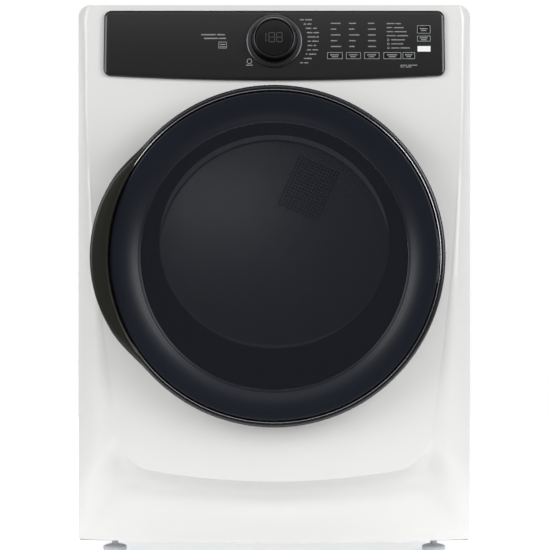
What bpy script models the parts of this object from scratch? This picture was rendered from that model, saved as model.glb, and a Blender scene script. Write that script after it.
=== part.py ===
"""Front-loading clothes dryer with a round side-hinged door, built piece by piece.

Metres, X to the right, the front faces -Y, Z up, the floor at z = 0.
"""

import math

import bmesh
import bpy
from mathutils import Vector

# Cabinet
HALF_W = 0.343
HEIGHT = 0.965
EDGE_Y = -0.300          # plane of the front's side edges
REAR_Y = 0.370
BODY_Z = 0.032           # lower edge of the sheet panels
SHEET = 0.0015
GAP = 0.0003
TOP_RADIUS = 0.020
LEG_X, LEG_FRONT_Y, LEG_REAR_Y = 0.285, -0.235, 0.315

# Shape of the front panel
FRONT_SHEET = 0.002
PANEL_SLACK = 0.0012     # the panel's flat facets stand this near to its true curve
BOW_CREASE, BOW_CENTRE = 0.030, 0.055
TOP_DEPTH = 0.012
LEAN = math.radians(9)
SHIELD_HALF_W, SHIELD_TAPER, SHIELD_TAPER_Z, SHIELD_SPAN = 0.3228, 0.0528, 0.825, 0.618
SHIELD_FLOOR_Z, SHIELD_CORNER = 0.1387, 0.045
COVE_DEPTH, COVE_AT = 0.026, 0.23

# Console, in its own frame: u to the right, v up the leaning face, n out of it
CONSOLE_Z = 0.895
FASCIA_HALF_W, FASCIA_TOP_V = 0.296, 0.0595
FASCIA_BOTTOM_V, FASCIA_SAG, FASCIA_CORNER = -0.0575, 0.008, 0.013
FASCIA_N = (0.0005, 0.0075)
KNOB_V = 0.0045
KNOB_R, KNOB_CAP_R, KNOB_BASE_R = 0.0385, 0.0325, 0.0485
KNOB_N, BASE_N = 0.0265, 0.0105
KEYS = {  # name: centre u, centre v, width, height
    "key_dry_level": (0.1050, -0.0225, 0.0270, 0.0125),
    "key_temperature": (0.1370, -0.0225, 0.0255, 0.0125),
    "key_time": (0.1690, -0.0225, 0.0265, 0.0125),
    "key_option_back": (0.2045, -0.0225, 0.0310, 0.0125),
    "key_option_next": (0.2330, -0.0225, 0.0215, 0.0125),
    "key_power": (0.2595, 0.0245, 0.0235, 0.0150),
    "key_drum_light": (0.2595, 0.0080, 0.0235, 0.0105),
    "key_start_pause": (0.2595, -0.0103, 0.0235, 0.0110),
}

# Door
DOOR_Z = 0.526
DOOR_R = 0.292
DOOR_BACK_Y, DOOR_BACK_GAP = -0.346, 0.004
RING_FRONT_Y, HANDLE_FRONT_Y = -0.388, -0.400
HANDLE_PEAK, HANDLE_SHOULDER = 0.0220, 0.0145
HANDLE_FLAT, HANDLE_END = math.radians(23), math.radians(37)
HANDLE_BACK_Y = -0.352
HINGE_X, HINGE_Y = 0.272, -0.370
HOLE_R = 0.232
SEAL_R = (0.2365, 0.2465)
SEAL_FACE_Y = -0.3597

# Drum and air path
DRUM_Z, DRUM_R, DRUM_Y = 0.545, 0.322, (-0.245, 0.300)
OPENING_R = 0.205
ROLLER_R, ROLLER_ANGLE, ROLLER_Y = 0.035, math.radians(32), (0.262, 0.286)
MOTOR_X, MOTOR_Z, MOTOR_R, MOTOR_Y = 0.155, 0.136, 0.062, (-0.020, 0.110)
PULLEY_R, BELT_Y, BELT_W, BELT_T = 0.014, 0.150, 0.010, 0.0025
IDLER_X, IDLER_Z, IDLER_R = 0.212, 0.200, 0.020
IDLER_PIVOT = (0.250, 0.120)
DUCT_X, DUCT_Z, DUCT_R, DUCT_END_Y = 0.0, 0.104, 0.0508, 0.400
BLOWER_Y = (-0.140, -0.070)
FILTER_Y = (-0.2795, -0.2675)
FILTER_HALF_W, FILTER_Z = 0.120, (0.150, 0.309)

BIG, MEDIUM, SMALL = 64, 32, 20   # sides of large, middling and small round pieces

COLOURS = {  # slot: colour, roughness, metallic
    "white_enamel": ((0.80, 0.81, 0.83), 0.28, 0.0),
    "galvanised_sheet": ((0.55, 0.57, 0.59), 0.42, 0.9),
    "drum_steel": ((0.60, 0.61, 0.63), 0.30, 1.0),
    "black_gloss": ((0.030, 0.031, 0.036), 0.12, 0.0),
    "handle_gloss": ((0.024, 0.024, 0.019), 0.15, 0.0),
    "dark_chrome": ((0.42, 0.43, 0.46), 0.16, 1.0),
    "smoked_glass": ((0.05, 0.055, 0.075), 0.05, 0.0),
    "door_glass": ((0.75, 0.80, 0.82), 0.04, 0.0),
    "grey_plastic": ((0.33, 0.34, 0.36), 0.50, 0.0),
    "light_plastic": ((0.70, 0.71, 0.72), 0.45, 0.0),
    "black_plastic": ((0.04, 0.04, 0.04), 0.55, 0.0),
    "seal_rubber": ((0.10, 0.10, 0.105), 0.75, 0.0),
    "felt": ((0.40, 0.38, 0.35), 0.95, 0.0),
    "circuit_board": ((0.03, 0.16, 0.08), 0.50, 0.0),
    "motor_paint": ((0.12, 0.13, 0.14), 0.40, 0.4),
    "steel": ((0.62, 0.62, 0.63), 0.32, 1.0),
    "filter_mesh": ((0.20, 0.23, 0.28), 0.70, 0.0),
}


# ---------------------------------------------------------------- building tools

def clear_scene():
    for thing in list(bpy.data.objects):
        bpy.data.objects.remove(thing, do_unlink=True)


def material(slot):
    """The slot's Principled material, made once."""
    made = bpy.data.materials.get(slot)
    if made:
        return made
    colour, roughness, metallic = COLOURS[slot]
    made = bpy.data.materials.new(slot)
    made.use_nodes = True
    shader = made.node_tree.nodes["Principled BSDF"]
    shader.inputs["Base Color"].default_value = (*colour, 1.0)
    shader.inputs["Roughness"].default_value = roughness
    shader.inputs["Metallic"].default_value = metallic
    return made


def finish_mesh(name, bm, slot, origin, smooth):
    """Close a bmesh into an object whose origin is at the given world point."""
    bmesh.ops.remove_doubles(bm, verts=bm.verts, dist=1e-6)
    bmesh.ops.recalc_face_normals(bm, faces=bm.faces)
    if bm.calc_volume(signed=True) < 0:
        bmesh.ops.reverse_faces(bm, faces=bm.faces)
    bmesh.ops.translate(bm, verts=bm.verts, vec=-Vector(origin))
    mesh = bpy.data.meshes.new(name)
    bm.to_mesh(mesh)
    bm.free()
    if smooth:
        mesh.shade_smooth()
        mesh.set_sharp_from_angle(angle=math.radians(35))
    obj = bpy.data.objects.new(name, mesh)
    obj.location = origin
    mesh.materials.append(material(slot))
    bpy.context.scene.collection.objects.link(obj)
    return obj


def loft(name, sections, slot, origin=(0, 0, 0), closed=False, smooth=True):
    """Skin equal closed sections; a closed loft joins its last section to its first."""
    bm = bmesh.new()
    rows = [[bm.verts.new(point) for point in section] for section in sections]
    count = len(rows[0])
    pairs = list(zip(rows, rows[1:]))
    if closed:
        pairs.append((rows[-1], rows[0]))
    for row, following in pairs:
        for i in range(count):
            j = (i + 1) % count
            bm.faces.new((row[i], row[j], following[j], following[i]))
    if not closed:
        bm.faces.new(rows[0])
        bm.faces.new(list(reversed(rows[-1])))
    return finish_mesh(name, bm, slot, origin, smooth)


def spin(name, profile, slot, at, axis=(0, 1, 0), sides=BIG, origin=None):
    """Turn a closed (radius, height) profile about an axis through a point."""
    turn = Vector((0, 0, 1)).rotation_difference(Vector(axis))
    rings = []
    for k in range(sides):
        angle = 2 * math.pi * k / sides
        rings.append([Vector(at) + turn @ Vector((r * math.cos(angle), r * math.sin(angle), h))
                      for r, h in profile])
    bm = bmesh.new()
    rows = [[bm.verts.new(point) for point in ring] for ring in rings]
    count = len(profile)
    for k in range(sides):
        row, following = rows[k], rows[(k + 1) % sides]
        for i in range(count):
            j = (i + 1) % count
            if profile[i][0] < 1e-7 and profile[j][0] < 1e-7:
                continue
            bm.faces.new((row[i], row[j], following[j], following[i]))
    bmesh.ops.remove_doubles(bm, verts=bm.verts, dist=1e-6)
    return finish_mesh(name, bm, slot, origin or at, True)


def prism(name, outline, span, slot, axis="Y", origin=(0, 0, 0), smooth=False):
    """Extrude a flat outline along one world axis between two positions."""
    place = {
        "X": lambda a, b, c: (c, a, b),
        "Y": lambda a, b, c: (a, c, b),
        "Z": lambda a, b, c: (a, b, c),
    }[axis]
    sections = [[place(a, b, c) for a, b in outline] for c in span]
    return loft(name, sections, slot, origin, smooth=smooth)


def box(name, x, y, z, slot, origin=(0, 0, 0)):
    outline = [(x[0], z[0]), (x[1], z[0]), (x[1], z[1]), (x[0], z[1])]
    return prism(name, outline, y, slot, "Y", origin)


def tube(name, radii, span, at, slot, axis=(0, 1, 0), sides=MEDIUM, origin=None):
    """A cylinder, or a tube when the inner radius is over zero."""
    inner, outer = radii
    profile = [(inner, span[0]), (outer, span[0]), (outer, span[1]), (inner, span[1])]
    return spin(name, profile, slot, at, axis, sides, origin)


def face_out(mesh):
    bm = bmesh.new()
    bm.from_mesh(mesh)
    bmesh.ops.recalc_face_normals(bm, faces=bm.faces)
    if bm.calc_volume(signed=True) < 0:
        bmesh.ops.reverse_faces(bm, faces=bm.faces)
    bm.to_mesh(mesh)
    bm.free()


def carve(target, tools, operation="DIFFERENCE"):
    """Apply exact Booleans with temporary tool solids, then drop the tools."""
    for tool in tools:
        modifier = target.modifiers.new("carve", "BOOLEAN")
        modifier.operation = operation
        modifier.object = tool
        modifier.solver = "EXACT"
    bpy.context.view_layer.update()
    evaluated = target.evaluated_get(bpy.context.evaluated_depsgraph_get())
    mesh = bpy.data.meshes.new_from_object(evaluated)
    target.modifiers.clear()
    target.data = mesh
    while len(mesh.materials) > 1:
        mesh.materials.pop()
    for polygon in mesh.polygons:
        polygon.material_index = 0
    face_out(mesh)
    for tool in tools:
        bpy.data.objects.remove(tool, do_unlink=True)
    return target


def arc(cx, cy, radius, start, end, steps):
    """Points on an arc, angles in degrees, both ends included."""
    angles = [math.radians(start + (end - start) * k / steps) for k in range(steps + 1)]
    return [(cx + radius * math.cos(a), cy + radius * math.sin(a)) for a in angles]


def smoothstep(low, high, value):
    t = min(max((value - low) / (high - low), 0.0), 1.0)
    return t * t * (3 - 2 * t)


# ---------------------------------------------------------------- the front's shape

def shield_half_width(z):
    below = max(SHIELD_TAPER_Z - z, 0.0) / SHIELD_SPAN
    return SHIELD_HALF_W - SHIELD_TAPER * below ** 1.8


def in_shield(x, z):
    """True inside the raised middle of the front, which is open at the top."""
    above = z - (SHIELD_FLOOR_Z + 0.0157 * (x / 0.205) ** 2)
    inside = shield_half_width(z) - abs(x)
    if above < 0 or inside < 0:
        return False
    if above < SHIELD_CORNER and inside < SHIELD_CORNER:
        return math.hypot(SHIELD_CORNER - above, SHIELD_CORNER - inside) < SHIELD_CORNER
    return True


def top_plane_depth(z):
    return TOP_DEPTH + math.tan(LEAN) * (HEIGHT - z)


def bulge(x, z):
    """How far the raised middle stands forward of the side edges."""
    across = 1 - (x / shield_half_width(z)) ** 2
    bow = BOW_CREASE + (BOW_CENTRE - BOW_CREASE) * across
    lower = 1 - smoothstep(0.66, 0.82, z)
    return lower * bow + (1 - lower) * top_plane_depth(z)


def front_y(x, z):
    return EDGE_Y - bulge(x, z)


def edge_depth(x, z):
    """Depth of the panel's own outline: none at the sides, bowed along the foot."""
    if z < BODY_Z + 0.001:
        return BOW_CENTRE * (1 - (x / HALF_W) ** 2)
    if z > HEIGHT - TOP_RADIUS - 0.001:
        return TOP_DEPTH * min(1.0, (HALF_W - abs(x)) / (HALF_W - SHIELD_HALF_W))
    return 0.0


def panel_limit(angle):
    """Distance from the door's centre to the panel's rounded outline."""
    dx, dz = math.cos(angle), math.sin(angle)
    corner_x, corner_z = HALF_W - TOP_RADIUS, HEIGHT - TOP_RADIUS

    def inside(r):
        x, z = abs(r * dx), DOOR_Z + r * dz
        if x > HALF_W or z > HEIGHT or z < BODY_Z:
            return False
        if x > corner_x and z > corner_z:
            return math.hypot(x - corner_x, z - corner_z) < TOP_RADIUS
        return True

    return last_inside(inside, 0.9)


def last_inside(inside, high):
    """The largest radius that a test still accepts, by halving."""
    low = 0.0
    for _ in range(40):
        middle = (low + high) / 2
        if inside(middle):
            low = middle
        else:
            high = middle
    return low


def panel_section(angle):
    """One radial slice of the front panel: outer skin outwards, inner skin back."""
    dx, dz = math.cos(angle), math.sin(angle)
    limit = panel_limit(angle)
    crease = last_inside(lambda r: in_shield(r * dx, DOOR_Z + r * dz), limit)
    crease = min(crease, limit - 0.003)
    low = 1 - smoothstep(0.16, 0.22, DOOR_Z + crease * dz)
    outer = []
    first = SEAL_R[1] + 0.002
    for t in (0.0, 0.35, 0.65, 1.0):
        r = first + (crease - first) * t
        outer.append((r, bulge(r * dx, DOOR_Z + r * dz)))
    start, end = outer[-1][1], edge_depth(limit * dx, DOOR_Z + limit * dz)
    for t in (0.07, 0.16, 0.28, 0.48, 0.74, 1.0):
        cove = t / COVE_AT * math.exp(1 - t / COVE_AT) * (1 - t) / (1 - COVE_AT)
        depth = start + (end - start) * t * t - low * COVE_DEPTH * cove
        outer.append((crease + (limit - crease) * t, depth))
    rim = bulge(HOLE_R * dx, DOOR_Z + HOLE_R * dz)
    outer = [(HOLE_R, rim)] + outer
    points = [(HOLE_R, 0.032)] + outer
    points += [(r, depth - FRONT_SHEET) for r, depth in reversed(outer[1:])]
    points += [(HOLE_R + FRONT_SHEET, rim - 2 * FRONT_SHEET), (HOLE_R + FRONT_SHEET, 0.032)]
    return [(r * dx, EDGE_Y - depth, DOOR_Z + r * dz) for r, depth in points]


def panel_angles():
    """Even angles, with extra ones through the panel's four corners."""
    angles = {round(2 * math.pi * k / 60, 5) for k in range(60)}
    for side in (1, -1):
        angles.add(round(math.atan2(BODY_Z - DOOR_Z, side * HALF_W) % (2 * math.pi), 5))
        for x, z in arc(HALF_W - TOP_RADIUS, HEIGHT - TOP_RADIUS, TOP_RADIUS, 0, 90, 4):
            angles.add(round(math.atan2(z - DOOR_Z, side * x) % (2 * math.pi), 5))
    kept = []
    for angle in sorted(angles):
        if not kept or angle - kept[-1] > 0.008:
            kept.append(angle)
    return kept


def front_panel():
    sections = [panel_section(angle) for angle in panel_angles()]
    panel = loft("front_panel", sections, "white_enamel", closed=True)
    slot = box("cut", (-0.267, -0.255), (-0.36, -0.30), (DOOR_Z - 0.019, DOOR_Z + 0.019),
               "steel")
    plunger = tube("cut", (0, 0.0048), (-0.37, -0.30), plunger_place(), "steel")
    return carve(panel, [slot, plunger])


# ---------------------------------------------------------------- cabinet

def side_panels():
    for name, side in (("side_panel_left", -1), ("side_panel_right", 1)):
        x = sorted((side * (HALF_W - SHEET), side * HALF_W))
        box(name, x, (EDGE_Y + 0.0025, REAR_Y - 0.002), (BODY_Z, HEIGHT - TOP_RADIUS - GAP),
            "white_enamel")


def top_panel():
    """A sheet whose long edges roll down to meet the sides."""
    low = HEIGHT - TOP_RADIUS
    outer = arc(HALF_W - TOP_RADIUS, low, TOP_RADIUS, 0, 90, 6)
    inner = arc(HALF_W - TOP_RADIUS, low, TOP_RADIUS - SHEET, 0, 90, 6)
    half = outer + [(-x, z) for x, z in reversed(outer)]
    under = inner + [(-x, z) for x, z in reversed(inner)]
    outline = half + list(reversed(under))

    def front_edge(x):
        fade = min(1.0, (HALF_W - abs(x)) / (HALF_W - SHIELD_HALF_W))
        return EDGE_Y - TOP_DEPTH * fade + 0.0042

    front = [(x, front_edge(x), z) for x, z in outline]
    back = [(x, REAR_Y - 0.002, z) for x, z in outline]
    return loft("top_panel", [front, back], "white_enamel")


def rear_panel():
    right = arc(HALF_W - TOP_RADIUS, HEIGHT - TOP_RADIUS, TOP_RADIUS, 0, 90, 6)
    left = [(-x, z) for x, z in reversed(right)]
    outline = [(HALF_W, BODY_Z)] + right + left + [(-HALF_W, BODY_Z)]
    panel = prism("rear_panel", outline, (REAR_Y - SHEET, REAR_Y), "galvanised_sheet")
    hole = tube("cut", (0, DUCT_R + 0.002), (0.3, 0.5), (DUCT_X, 0, DUCT_Z), "steel")
    return carve(panel, [hole])


def base_pan():
    x, y = HALF_W - SHEET - 0.001, (EDGE_Y + 0.004, REAR_Y - 0.0025)
    pan = box("base_pan", (-x, x), y, (0.0285, 0.052), "galvanised_sheet")
    inside = box("cut", (-x + 0.002, x - 0.002), (y[0] + 0.002, y[1] - 0.002),
                 (0.0305, 0.06), "steel")
    return carve(pan, [inside])


def legs():
    """Four screw legs: a rubber-faced pad below a threaded stem."""
    places = {"leg_front_left": (-LEG_X, LEG_FRONT_Y), "leg_front_right": (LEG_X, LEG_FRONT_Y),
              "leg_rear_left": (-LEG_X, LEG_REAR_Y), "leg_rear_right": (LEG_X, LEG_REAR_Y)}
    profile = [(0, 0), (0.019, 0), (0.021, 0.003), (0.021, 0.010), (0.012, 0.013),
               (0.006, 0.013), (0.006, 0.0282), (0, 0.0282)]
    for name, (x, y) in places.items():
        spin(name, profile, "black_plastic", (x, y, 0), (0, 0, 1), SMALL)


def terminal_cover():
    box("terminal_cover", (0.19, 0.29), (REAR_Y + GAP, REAR_Y + 0.018), (0.10, 0.22),
        "galvanised_sheet")


# ---------------------------------------------------------------- console

def console_point(u, v, n):
    """World point of a place on the leaning console face."""
    up = Vector((0, math.sin(LEAN), math.cos(LEAN)))
    out = Vector((0, -math.cos(LEAN), math.sin(LEAN)))
    face = Vector((0, EDGE_Y - top_plane_depth(CONSOLE_Z), CONSOLE_Z))
    return face + Vector((u, 0, 0)) + up * v + out * n


def console_axis():
    return (0, -math.cos(LEAN), math.sin(LEAN))


def console_prism(name, outline, span, slot, origin=(0, 0, 0), bevel=0.0):
    """Extrude a (u, v) outline along the console's outward direction."""
    (low, high) = span
    middle_u = sum(u for u, _ in outline) / len(outline)
    middle_v = sum(v for _, v in outline) / len(outline)
    levels = [(low, 0.0), (high - bevel, 0.0), (high, bevel)] if bevel else [(low, 0), (high, 0)]
    sections = []
    for n, inset in levels:
        sections.append([console_point(u - math.copysign(inset, u - middle_u),
                                       v - math.copysign(inset, v - middle_v), n)
                         for u, v in outline])
    return loft(name, sections, slot, origin, smooth=False)


def fascia_outline():
    w, r = FASCIA_HALF_W, FASCIA_CORNER
    top, foot = FASCIA_TOP_V, FASCIA_BOTTOM_V
    upper = arc(w - r, top - r, r, 0, 90, 5)
    lower = arc(w - r, foot + r, r, -90, 0, 5)
    sag = [(w * k / 6, foot - FASCIA_SAG * (1 - (k / 6) ** 2)) for k in range(5, 0, -1)]
    right = upper[::-1] + lower[::-1] + sag
    left = [(-u, v) for u, v in reversed(right)]
    return right + [(0, foot - FASCIA_SAG)] + left


def rectangle(u, v, width, height, grow=0.0):
    a, b = width / 2 + grow, height / 2 + grow
    return [(u - a, v - b), (u + a, v - b), (u + a, v + b), (u - a, v + b)]


def console_fascia():
    fascia = console_prism("console_fascia", fascia_outline(), FASCIA_N, "black_gloss",
                           bevel=0.0025)
    tools = [console_prism("cut", rectangle(*place, grow=GAP), (-0.01, 0.02), "steel")
             for place in KEYS.values()]
    hole = tube("cut", (0, 0.026), (-0.02, 0.03), console_point(0, KNOB_V, 0), "steel",
                console_axis())
    return carve(fascia, tools + [hole])


def keys():
    for name, (u, v, width, height) in KEYS.items():
        console_prism(name, rectangle(u, v, width, height), (0.0014, FASCIA_N[1]),
                      "black_gloss", origin=console_point(u, v, FASCIA_N[1]))


def knob():
    """Fixed base ring and display around and inside the turning ring."""
    at, axis = console_point(0, KNOB_V, 0), console_axis()
    face = FASCIA_N[1] + GAP
    spin("knob_base_ring", [(KNOB_R + 0.001, face), (KNOB_BASE_R, face),
                            (KNOB_BASE_R - 0.001, BASE_N - 0.0008), (KNOB_R + 0.004, BASE_N),
                            (KNOB_R + 0.001, BASE_N)], "dark_chrome", at, axis, 48)
    grip = [(KNOB_CAP_R + GAP, face + 0.0015), (KNOB_R, face + 0.0015), (KNOB_R, 0.020),
            (KNOB_R - 0.0015, 0.0245), (KNOB_CAP_R + 0.002, KNOB_N), (KNOB_CAP_R + GAP, KNOB_N)]
    spin("knob_ring", grip, "dark_chrome", at, axis, 48)
    cap = [(0, 0.0005), (0.0255, 0.0005), (0.0255, face + 0.001), (KNOB_CAP_R, face + 0.001),
           (KNOB_CAP_R, 0.0245), (KNOB_CAP_R - 0.002, 0.0262), (0, 0.0268)]
    spin("display_lens", cap, "black_gloss", at, axis, 48)


def ui_board():
    """The circuit board hangs in the space behind the front panel."""
    outline = rectangle(0.05, -0.005, 0.42, 0.085)
    console_prism("ui_board", outline, (-0.020, -0.0184), "circuit_board")


# ---------------------------------------------------------------- door

def ring_point(angle, radius, y):
    return (radius * math.cos(angle), y, DOOR_Z + radius * math.sin(angle))


def door_back(angle, radius=DOOR_R):
    """The door's rear edge follows the panel but never comes nearer than a set line."""
    y = front_y(radius * math.cos(angle), DOOR_Z + radius * math.sin(angle))
    return min(y - DOOR_BACK_GAP, DOOR_BACK_Y)


def hinge_notch(x, y):
    """The space that the door's own pieces leave for the bracket's ears."""
    return box("cut", x, y, (DOOR_Z - 0.045, DOOR_Z + 0.045), "steel")


def door_ring():
    """The round trim frame: an outer wall with a lip that holds the lens."""
    origin = (HINGE_X, HINGE_Y, DOOR_Z)
    sections = []
    for k in range(BIG):
        angle = 2 * math.pi * k / BIG
        back = door_back(angle)
        profile = [(DOOR_R, back), (DOOR_R, -0.3810), (0.2900, -0.3865), (0.2860, RING_FRONT_Y),
                   (0.2815, -0.3855), (0.2815, -0.3795), (0.2885, -0.3770), (0.2885, back)]
        sections.append([ring_point(angle, r, y) for r, y in profile])
    ring = loft("door_ring", sections, "dark_chrome", origin, closed=True)
    return carve(ring, [hinge_notch((0.2600, 0.3000), (-0.3720, -0.3300))])


def handle_reach(offset):
    """How far the handle stands out beyond the ring at an angle from its middle."""
    offset = abs(offset)
    if offset < HANDLE_FLAT:
        return HANDLE_PEAK - (HANDLE_PEAK - HANDLE_SHOULDER) * (offset / HANDLE_FLAT) ** 2
    return 0.0035 + (HANDLE_SHOULDER - 0.0035) * (1 - smoothstep(HANDLE_FLAT, HANDLE_END, offset))


def door_handle():
    """A crescent grip outside the ring, hooked back so that fingers reach behind it."""
    sections = []
    steps = 20
    for k in range(steps + 1):
        offset = HANDLE_END * (2 * k / steps - 1)
        angle = math.pi + offset
        inner, reach = DOOR_R + GAP, handle_reach(offset)
        outer = inner + reach
        fade = 1 - smoothstep(HANDLE_FLAT * 0.5, HANDLE_END, abs(offset))
        front = RING_FRONT_Y + (HANDLE_FRONT_Y - RING_FRONT_Y) * fade
        profile = [(inner, -0.3640), (inner, -0.3850), (inner + reach * 0.25, front),
                   (outer - reach * 0.2, front + 0.0050), (outer, front + 0.0140),
                   (outer, HANDLE_BACK_Y), (outer - reach * 0.3, HANDLE_BACK_Y),
                   (outer - reach * 0.35, -0.3640)]
        sections.append([ring_point(angle, r, y) for r, y in profile])
    return loft("door_handle", sections, "handle_gloss", (HINGE_X, HINGE_Y, DOOR_Z))


def door_lens():
    """Smoked outer glass: a dished border, a step, and a shallow domed middle."""
    front = [(0.2807, -0.3800), (0.2807, -0.3850), (0.2780, -0.3872), (0.2660, -0.3858),
             (0.2530, -0.3815), (0.2430, -0.3770), (0.2375, -0.3745), (0.2345, -0.3722),
             (0.1500, -0.3755), (0, -0.3775)]
    back = [(0, -0.3747), (0.1500, -0.3725), (0.2340, -0.3692), (0.2385, -0.3712),
            (0.2440, -0.3740), (0.2540, -0.3785), (0.2660, -0.3828), (0.2770, -0.3838),
            (0.2777, -0.3800)]
    spin("door_lens", front + back, "smoked_glass", (0, 0, DOOR_Z),
         origin=(HINGE_X, HINGE_Y, DOOR_Z))


def door_inner_frame():
    """The plate behind the lens that carries the glass bowl, hinge leaf and strike."""
    profile = [(0.2000, -0.3600), (0.2880, -0.3600), (0.2880, -0.3665), (0.2000, -0.3665)]
    frame = spin("door_inner_frame", profile, "light_plastic", (0, 0, DOOR_Z),
                 origin=(HINGE_X, HINGE_Y, DOOR_Z))
    return carve(frame, [hinge_notch((0.2535, 0.2950), (-0.3800, -0.3500))])


def door_glass_bowl():
    outer = [(0.1980, -0.3590), (0.1890, -0.3420), (0.1700, -0.3100), (0.1500, -0.2940),
             (0.1200, -0.2870), (0, -0.2850)]
    inner = [(0, -0.2885), (0.1190, -0.2905), (0.1480, -0.2975), (0.1670, -0.3125),
             (0.1855, -0.3430), (0.1945, -0.3630)]
    spin("door_glass_bowl", outer + inner + [(0.1997, -0.3663), (0.1997, -0.3590)],
         "door_glass", (0, 0, DOOR_Z), origin=(HINGE_X, HINGE_Y, DOOR_Z))


def door_seal():
    """Rubber ring on the panel around the hole, as deep as the panel is bowed."""
    sections = []
    for k in range(BIG):
        angle = 2 * math.pi * k / BIG
        root = [front_y(r * math.cos(angle), DOOR_Z + r * math.sin(angle)) - PANEL_SLACK
                for r in SEAL_R]
        profile = [(SEAL_R[0], root[0]), (SEAL_R[1], root[1]), (SEAL_R[1] - 0.002, SEAL_FACE_Y),
                   (SEAL_R[0] + 0.002, SEAL_FACE_Y)]
        sections.append([ring_point(angle, r, y) for r, y in profile])
    return loft("door_seal", sections, "seal_rubber", closed=True)


def hinge():
    """Bracket with two ears on the panel, a leaf on the door, and the pin between."""
    pin_at = (HINGE_X, HINGE_Y, DOOR_Z)
    foot = [(x, front_y(x, DOOR_Z) - PANEL_SLACK) for x in (0.2500, 0.2660)]
    foot += [(0.2660, -0.3440), (0.2500, -0.3440)]
    bracket = prism("hinge_bracket", foot, (DOOR_Z - 0.040, DOOR_Z + 0.040), "steel", "Z")
    tools = []
    for low in (-0.034, 0.029):
        ear = [(0.2500, -0.3430), (0.2575, -0.3430), (0.2635, -0.3600)]
        ear += arc(HINGE_X, HINGE_Y, 0.0047, 75, -180, 8)
        tools.append(prism("ear", ear, (DOOR_Z + low, DOOR_Z + low + 0.005), "steel", "Z"))
    carve(bracket, tools, "UNION")
    carve(bracket, [tube("cut", (0, 0.0028), (-0.08, 0.08), pin_at, "steel", (0, 0, 1), 16)])
    tube("hinge_pin", (0, 0.0025), (-0.037, 0.037), pin_at, "steel", (0, 0, 1), 16)
    leaf = box("hinge_leaf", (0.2480, HINGE_X), (-0.3735, -0.3700),
               (DOOR_Z - 0.028, DOOR_Z + 0.028), "steel", pin_at)
    barrel = tube("barrel", (0, 0.0047), (-0.028, 0.028), pin_at, "steel", (0, 0, 1), 16)
    carve(leaf, [barrel], "UNION")
    carve(leaf, [tube("cut", (0, 0.0029), (-0.08, 0.08), pin_at, "steel", (0, 0, 1), 16)])


def latch():
    """Strike hook on the door and the spring catch behind the panel."""
    hook = [(-0.2640, -0.3597), (-0.2580, -0.3597), (-0.2580, -0.3250), (-0.2610, -0.3200),
            (-0.2640, -0.3250)]
    prism("door_strike", hook, (DOOR_Z - 0.012, DOOR_Z + 0.012), "steel", "Z",
          (HINGE_X, HINGE_Y, DOOR_Z))
    catch = box("latch_catch", (-0.280, -0.242), (-0.3300, -0.3010),
                (DOOR_Z - 0.030, DOOR_Z + 0.030), "black_plastic")
    mouth = box("cut", (-0.2680, -0.2540), (-0.34, -0.3130), (DOOR_Z - 0.018, DOOR_Z + 0.018),
                "steel")
    carve(catch, [mouth])


def plunger_place():
    angle = math.radians(158)
    return (0.262 * math.cos(angle), 0, DOOR_Z + 0.262 * math.sin(angle))


def door_switch_plunger():
    tube("door_switch_plunger", (0, 0.0042), (-0.3594, -0.3300), plunger_place(),
         "light_plastic", sides=16)


# ---------------------------------------------------------------- drum and drive

def drum():
    """Open cylinder with a rolled lip at each end and a belt track."""
    front, rear = DRUM_Y
    outer = [(DRUM_R - 0.020, front), (DRUM_R - 0.006, front), (DRUM_R, front + 0.008),
             (DRUM_R, BELT_Y - 0.012), (DRUM_R - 0.001, BELT_Y - 0.008),
             (DRUM_R - 0.001, BELT_Y + 0.008), (DRUM_R, BELT_Y + 0.012), (DRUM_R, rear)]
    inner = [(DRUM_R - 0.002, rear), (DRUM_R - 0.0025, front + 0.010),
             (DRUM_R - 0.0075, front + 0.002), (DRUM_R - 0.020, front + 0.002)]
    spin("drum_shell", outer + inner, "drum_steel", (0, 0, DRUM_Z), sides=BIG,
         origin=(0, 0, DRUM_Z))


def drum_lifters():
    """Three rounded paddles fixed inside the drum."""
    reach, half = 0.070, 0.034
    base = DRUM_R - 0.0038
    for k, degrees in enumerate((-28, 92, 212)):
        angle = math.radians(degrees)
        along = Vector((math.cos(angle), 0, math.sin(angle)))
        across = Vector((-math.sin(angle), 0, math.cos(angle)))
        sections = []
        for y, scale in ((-0.205, 0.72), (-0.185, 1.0), (0.255, 1.0), (0.275, 0.72)):
            outline = [(-half, base - 0.0025), (half, base - 0.0025),
                       (half * 0.45, base - reach * 0.72 * scale),
                       (half * 0.18, base - reach * scale),
                       (-half * 0.18, base - reach * scale),
                       (-half * 0.45, base - reach * 0.72 * scale)]
            sections.append([Vector((0, y, DRUM_Z)) + across * a + along * r
                             for a, r in outline])
        loft(f"drum_lifter_{k + 1}", sections, "light_plastic", (0, 0, DRUM_Z))


def bulkhead_plate(name, y, hole_at, hole_r, low_z, slot):
    plate = box(name, (-0.334, 0.334), y, (low_z, 0.885), slot)
    if hole_r:
        hole = tube("cut", (0, hole_r), (y[0] - 0.1, y[1] + 0.1), hole_at, "steel", sides=BIG)
        carve(plate, [hole])
    return plate


def front_bulkhead():
    plate = bulkhead_plate("front_bulkhead", (-0.2640, -0.2610), (0, 0, DOOR_Z), 0.212,
                           0.205, "galvanised_sheet")
    return carve(plate, [box("cut", (-0.131, 0.131), (-0.3, -0.2), (0.19, 0.3300), "steel")])


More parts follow.
